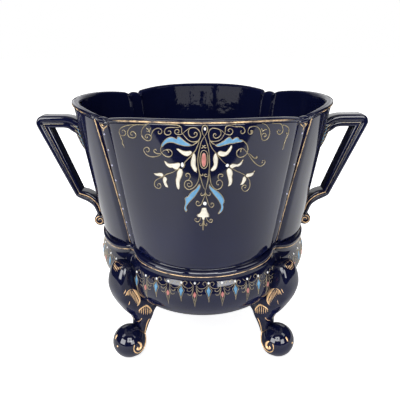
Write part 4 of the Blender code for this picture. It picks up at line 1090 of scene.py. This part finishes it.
# gilt leaves and lines carved on the legs, in mm out from the middle and up from the ground
legLeaf = [[(104.3, 81.8), (101.1, 79.5), (97.8, 75.3), (95.6, 69.9), (95.1, 65.2), (96.7, 61.4), (100.1, 59.3)],
           [(104.3, 81.8), (102.4, 78.2), (100.8, 75.0), (99.0, 71.3), (97.6, 67.0), (97.4, 63.0), (100.1, 59.3)]]
legFan = [[(97.6, 50.9), (95.6, 54.0), (92.1, 55.0), (88.8, 54.9), (86.9, 54.1), (84.2, 50.6), (81.9, 46.2),
           (81.5, 41.6)],
          [(97.6, 50.9), (95.1, 52.6), (91.9, 53.0), (88.8, 52.5), (86.2, 50.5), (83.9, 47.2), (82.4, 43.7),
           (81.5, 41.6)]]
legStrokes = [[(103.8, 79.6), (105.3, 73.4)], [(102.4, 77.6), (104.1, 71.1)], [(101.2, 75.5), (102.9, 69.0)],
              [(100.0, 73.1), (101.9, 66.7)], [(98.8, 70.5), (101.1, 64.4)], [(98.0, 67.6), (99.9, 62.5)],
              [(97.7, 64.7), (99.1, 60.9)], [(105.1, 81.6), (107.4, 82.3), (109.5, 81.4), (110.7, 79.8)],
              [(105.7, 81.0), (106.8, 75.6)], [(107.4, 81.5), (108.5, 76.1)], [(108.8, 81.2), (109.9, 77.4)],
              [(109.9, 80.7), (111.4, 77.3)], [(111.2, 84.3), (113.2, 80.6)], [(107.4, 69.3), (108.5, 65.4)],
              [(95.1, 52.8), (96.1, 48.7)], [(93.0, 53.1), (94.1, 46.4)], [(90.9, 52.9), (91.8, 44.6)],
              [(88.8, 52.5), (89.4, 43.1)], [(86.6, 50.9), (87.0, 42.0)], [(84.8, 48.4), (84.8, 41.2)],
              [(83.2, 45.7), (82.9, 40.6)], [(93.7, 41.2), (95.1, 38.4), (96.0, 35.4)]]
legLine = [(84.6, 35.2), (87.0, 32.0), (88.9, 28.1), (90.3, 23.4), (91.9, 18.4), (94.6, 14.4), (98.2, 11.4),
           (102.6, 10.0), (106.6, 11.0), (109.4, 14.2), (110.0, 18.0), (108.6, 21.4)]
legGilding = {"stroke": 0.00034, "line": 0.00055, "comma": 0.00120, "fringe": 0.00028, "leafRise": 0.0008,
              "markRise": 0.0006, "raySide": 0.04, "rayFront": 0.16}
ballMarks = [(-3.4, 25.4, 0.8, 2.6), (2.2, 19.4, 0.9, 0.9)]
legComma = [(104.6, 22.6), (102.6, 20.0), (102.6, 17.0), (104.8, 15.4), (106.8, 16.6), (105.8, 18.2)]
kneeFringe = [[(-6, 106.6), (-3, 108.6), (0, 109.2), (3, 108.6), (6, 106.6)], [(-5, 107.2), (-4.6, 102.4)],
              [(-3, 108.4), (-2.6, 100.8)], [(-1, 109.0), (-0.8, 100.0)], [(1, 109.0), (1.2, 99.8)],
              [(3, 108.4), (3.2, 100.6)], [(5, 107.2), (4.8, 102.6)]]


def solidTree(names):                   # for dropping ornament onto finished pieces
    mesh = bmesh.new()
    graph = bpy.context.evaluated_depsgraph_get()
    for name in names:
        shape = bpy.data.objects[name].evaluated_get(graph)
        data = shape.to_mesh()
        mesh.from_mesh(data)
        shape.to_mesh_clear()
    tree = BVHTree.FromBMesh(mesh)
    mesh.free()
    return tree


def dropPlace(tree, turn, origin, direction):   # origin(x, y) starts a ray in the leg's own frame
    aim = turn @ Vector(direction)
    shape = {}

    def place(x, y, proud):
        hit, normal = tree.ray_cast(turn @ Vector(origin(x, y)), aim)[:2]
        if hit is None:
            hit = shape.get("hit", turn @ Vector(origin(x, y)) + aim * 0.05)
            normal = shape.get("normal", -aim)
        if normal.dot(aim) > 0:
            normal = -normal
        shape["hit"], shape["normal"] = hit, normal
        return hit + normal * proud
    return place


def sidePlace(tree, turn, side):        # dropped from one side, across the leg or the handle
    reach = side * legGilding["raySide"]
    return dropPlace(tree, turn, lambda x, y: (x / 1000, reach, y / 1000), (0, -side, 0))


def buildLegGilding(quarter):
    look, turn = legGilding, legTurn(quarter)
    tree = solidTree(["legShank%d" % quarter, "ballFoot%d" % quarter, "footVolute%d" % quarter])
    strokes, leaves = [], bmesh.new()
    for side in (1, -1):
        place = sidePlace(tree, turn, side)
        strokes += [layStroke(keys, place, look["stroke"], tip=0.3) for keys in legStrokes]
        strokes.append(layStroke(legLine, place, look["line"], tip=0.7))
        strokes.append(layStroke(legComma, place, look["comma"], tip=0.35))
        for first, second in (legLeaf, legFan):
            addField(leaves, first, second, place, look["leafRise"])
    front = dropPlace(tree, turn, lambda x, y: (look["rayFront"], x / 1000, y / 1000), (-1, 0, 0))
    strokes += [layStroke(keys, front, look["fringe"], tip=0.3) for keys in kneeFringe]
    addStrokes("legLines%d" % quarter, strokes, leafGold)
    addPiece("legLeaves%d" % quarter, closeFields(leaves), leafGold)
    marks = bmesh.new()
    for x, y, halfX, halfY in ballMarks:
        addDot(marks, x, y, halfX, halfY, front, look["markRise"])
    addPiece("ballMarks%d" % quarter, marks, leafGold)


for quarter in range(4):
    buildLegGilding(quarter)
print("leg gilding made")


# gilding of the handles: the inner ridge's edge, heavier low down, the leaf's folds and the curl, and a blue
# enamel line along the leaf
handleGilding = {"ridgeAcross": 0.66, "ridgeFrom": 12, "proud": 0.00005, "ridge": 0.00020, "lowRidge": 0.00036,
                 "lowBelow": 0.155, "fold": 0.00042, "folds": 6, "firstFold": 0.10, "foldStep": 0.145,
                 "curl": 0.00040, "curlTurn": 430, "curlReach": (0.80, 0.28), "curlSteps": 20, "tint": 0.00034,
                 "tintFirst": 0.06, "tintStep": 0.2, "tintDepth": 0.42}
foldKeys = [(0.88, 2.2), (0.55, 0.4), (0.20, -2.6)]     # share of the leaf's depth, mm above the fold's height


def buildHandleGilding(side):
    name = "handleRight" if side > 0 else "handleLeft"
    look, shape = handleGilding, handleShape
    tree = solidTree([name + "Bar", name + "Leaf", name + "Curl"])
    ridge = [barPoint(at, look["ridgeAcross"], 0.0, side) for at in barFrames(handleLine())]
    ridge = ridge[look["ridgeFrom"]:]
    curlX = wallRadius(shape["curlHeight"]) + shape["curlOut"]
    strokes, curls, tints = [], [], []
    for face in (1, -1):
        place = sidePlace(tree, Matrix.Identity(3), face)
        flat = [place(point.x * 1000, point.z * 1000, look["proud"]) for point in ridge]
        strokes.append((flat, [look["ridge"]] * len(flat)))
        low = [point for point in flat if point.z < look["lowBelow"]]
        curls.append((low, [look["lowRidge"]] * len(low)))
        for step in range(look["folds"]):
            share = look["firstFold"] + look["foldStep"] * step
            height = (leafTop() - shape["leafLength"] * share) * 1000
            depth = leafSize(share)[0] * 1000
            root = wallRadius(height / 1000) * 1000
            fold = [(side * (root + depth * out), height + rise) for out, rise in foldKeys]
            strokes.append(layStroke(fold, place, look["fold"], tip=0.3))
        curl = []
        for step in range(look["curlSteps"] + 1):
            angle = math.radians(90 - look["curlTurn"] * step / look["curlSteps"])
            reach = shape["curlRadius"] * mix(*look["curlReach"], step / look["curlSteps"])
            curl.append(place((curlX + reach * math.cos(angle)) * side * 1000,
                              (shape["curlHeight"] + reach * math.sin(angle)) * 1000, look["proud"]))
        curls.append((curl, [look["curl"]] * len(curl)))
        edge = []
        for step in range(5):
            share = look["tintFirst"] + look["tintStep"] * step
            height = leafTop() - shape["leafLength"] * share
            edge.append((side * (wallRadius(height) + leafSize(share)[0] * look["tintDepth"]) * 1000, height * 1000))
        tints.append(layStroke(edge, place, look["tint"], tip=0.4))
    addStrokes(name + "Gilding", strokes, panelGold)
    addStrokes(name + "CurlGilding", curls, leafGold)
    addStrokes(name + "Tint", tints, enamels["blue"])


for side in (1, -1):
    buildHandleGilding(side)
print("handle gilding made")


# studio: floor, soft lights and the camera
studio = {"floor": (0.95, 0.95, 0.95, 1), "table": (0.63, 0.63, 0.61, 1), "tableFront": -0.41, "tableBack": 0.36,
          "tableSide": 0.9, "tableHeight": 0.0003, "floorSide": 6.0, "fill": 0.65, "glow": 0.75, "room": 0.03,
          "groundRoughness": 0.7, "lensRoughness": 0.6,
          "lensRadius": 0.032, "lensPlace": (0, -0.400, 0.300), "lensFrom": (0, -0.39, 0.290), "lensAim": (0, 0, 0.08),
          "yaw": 0.578, "pan": -0.383, "pitch": 22.019, "roll": 0.263, "lens": 36 * 400.551 / 400,
          "distance": 0.392158, "eye": 0.294776}
# painted light off the table, a glow in its colour that is dark in the middle and brighter to the sides: places along
# X and brightness
paintedSheen = [(-0.45, 0.42), (-0.14, 0.38), (-0.03, 0.0), (0.03, 0.0), (0.16, 0.14), (0.42, 0.65)]
# name, place, point aimed at, size in metres, brightness, seen in reflections, lights matt surfaces
lamps = [("leftFrontWall", (-0.95, -1.13, 0.58), (0, -0.1, 0.1), (0.87, 0.80), 8.8, True, False),
         ("rightFrontWall", (0.68, -1.33, 0.55), (0, -0.1, 0.1), (0.62, 0.70), 8.4, True, False),
         ("cameraBox", (0.0, -0.43, 0.318), (0, 0, 0.08), (0.24, 0.24), 9.0, True, False),
         ("leftTopBox", (-0.70, -0.36, 0.95), (0, 0, 0.05), (0.28, 0.45), 4.0, True, False),
         ("rightTopBox", (0.70, -0.36, 0.95), (0, 0, 0.05), (0.28, 0.45), 4.0, True, False),
         ("backWall", (0.0, 1.5, 0.75), (0, 0, 0.15), (2.6, 0.7), 1.2, True, False),
         ("ceiling", (0.0, 0.2, 2.0), (0, 0, 0), (2.4, 2.4), 0.45, True, False),
         ("softKey", (-0.5, -0.5, 1.5), (0, 0, 0.1), (1.6, 1.6), 2.2, False, True)]


# the table's painted glow: its emission colour, ramped along X
def paintedGlowAlong(nodes, links):           # colour ramp over one metre of X
    where = nodes.new("ShaderNodeTexCoord")
    split = nodes.new("ShaderNodeSeparateXYZ")
    links.new(where.outputs["Object"], split.inputs["Vector"])
    across = nodes.new("ShaderNodeMapRange")
    setSockets(across, {"From Min": -0.5, "From Max": 0.5})
    links.new(split.outputs["X"], across.inputs["Value"])
    ramp = nodes.new("ShaderNodeValToRGB")
    stops = ramp.color_ramp.elements
    while len(stops) < len(paintedSheen):
        stops.new(0.5)
    for stop, (x, light) in zip(stops, paintedSheen):
        stop.position = x + 0.5
        stop.color = (light, light, light, 1)
    links.new(across.outputs["Result"], ramp.inputs["Fac"])
    return ramp.outputs["Color"]


def buildGround(name, side, front, back, height):
    mesh = bmesh.new()
    bmesh.ops.create_grid(mesh, x_segments=2, y_segments=2, size=1.0)
    for vert in mesh.verts:
        vert.co = (mix(-side, side, (vert.co.x + 1) / 2), mix(front, back, (vert.co.y + 1) / 2), height)
    material, nodes, links, shader = newMaterial("pale" + name.capitalize(), studio["groundRoughness"])
    isFloor = name == "floor"
    if isFloor:
        setSockets(shader, {"Base Color": studio["floor"], "Emission Color": (1, 1, 1, 1),
                            "Emission Strength": studio["glow"]})
    else:
        # the table glows with the painted light ramp and is seen only in reflections
        setSockets(shader, {"Base Color": studio["table"], "Emission Strength": 1.0})
        links.new(paintedGlowAlong(nodes, links), shader.inputs["Emission Color"])
    floor = meshObject(name, mesh, material)
    floor.visible_camera = floor.visible_diffuse = floor.visible_shadow = isFloor
    floor.visible_glossy = not isFloor


def buildFloor():                       # the floor is for the camera, the table on it for reflections
    side = studio["floorSide"]
    buildGround("floor", side, -side, side, 0.0)
    buildGround("tableTop", studio["tableSide"], studio["tableFront"], studio["tableBack"], studio["tableHeight"])


def buildLens():                        # the dark lens in the middle of the camera's light
    disc = bmesh.new()
    bmesh.ops.create_circle(disc, cap_ends=True, segments=32, radius=studio["lensRadius"])
    aim = Vector(studio["lensFrom"]) - Vector(studio["lensAim"])
    turn = aim.to_track_quat("Z", "Y").to_matrix().to_4x4()
    bmesh.ops.transform(disc, matrix=Matrix.Translation(studio["lensPlace"]) @ turn, verts=disc.verts)
    material, nodes, links, shader = newMaterial("darkLens", studio["lensRoughness"])
    setSockets(shader, {"Base Color": (0.01, 0.01, 0.01, 1)})
    lens = meshObject("cameraLens", disc, material)
    lens.visible_camera = lens.visible_diffuse = lens.visible_shadow = False


def buildLights():
    world = bpy.data.worlds.new("paleSurround")
    bpy.context.scene.world = world
    world.use_nodes = True
    nodes, links = world.node_tree.nodes, world.node_tree.links
    path = nodes.new("ShaderNodeLightPath")
    ambient = nodes.new("ShaderNodeMapRange")   # even fill for matt surfaces, a dim room in reflections
    setSockets(ambient, {"To Min": studio["fill"], "To Max": studio["room"]})
    links.new(path.outputs["Is Glossy Ray"], ambient.inputs["Value"])
    bright = nodes.new("ShaderNodeMath")
    bright.operation = "MAXIMUM"
    links.new(path.outputs["Is Camera Ray"], bright.inputs[0])
    links.new(ambient.outputs["Result"], bright.inputs[1])
    back = nodes["Background"]
    setSockets(back, {"Color": (1.0, 1.0, 1.0, 1)})
    links.new(bright.outputs["Value"], back.inputs["Strength"])
    for name, place, aim, size, brightness, inReflections, onMatt in lamps:
        lamp = bpy.data.lights.new(name, "AREA")
        lamp.shape = "RECTANGLE"
        lamp.size, lamp.size_y = size
        lamp.energy = brightness * math.pi * size[0] * size[1]
        light = makeObject(name, lamp)
        light.location = place
        light.rotation_mode = "QUATERNION"
        light.rotation_quaternion = (Vector(aim) - Vector(place)).to_track_quat("-Z", "Y")
        light.visible_camera = False
        light.visible_glossy = inReflections
        light.visible_diffuse = onMatt
    bpy.context.scene.view_settings.view_transform = "Standard"


def buildCamera():
    lens = bpy.data.cameras.new("photoCamera")
    lens.sensor_width = 36
    lens.lens = studio["lens"]
    lens.clip_start = 0.01
    camera = makeObject("photoCamera", lens)
    yaw, pan, pitch, roll = [math.radians(studio[name]) for name in ("yaw", "pan", "pitch", "roll")]
    swing = Matrix.Rotation(-yaw, 3, "Z")
    forward = swing @ Vector((math.sin(pan) * math.cos(pitch), math.cos(pan) * math.cos(pitch), -math.sin(pitch)))
    camera.location = swing @ Vector((0, -studio["distance"], studio["eye"]))
    camera.rotation_mode = "QUATERNION"
    camera.rotation_quaternion = (forward.to_track_quat("-Z", "Y")
                                  @ Matrix.Rotation(-roll, 3, "Z").to_quaternion())
    bpy.context.scene.camera = camera


buildFloor()
buildLens()
buildLights()
buildCamera()
print("studio made")
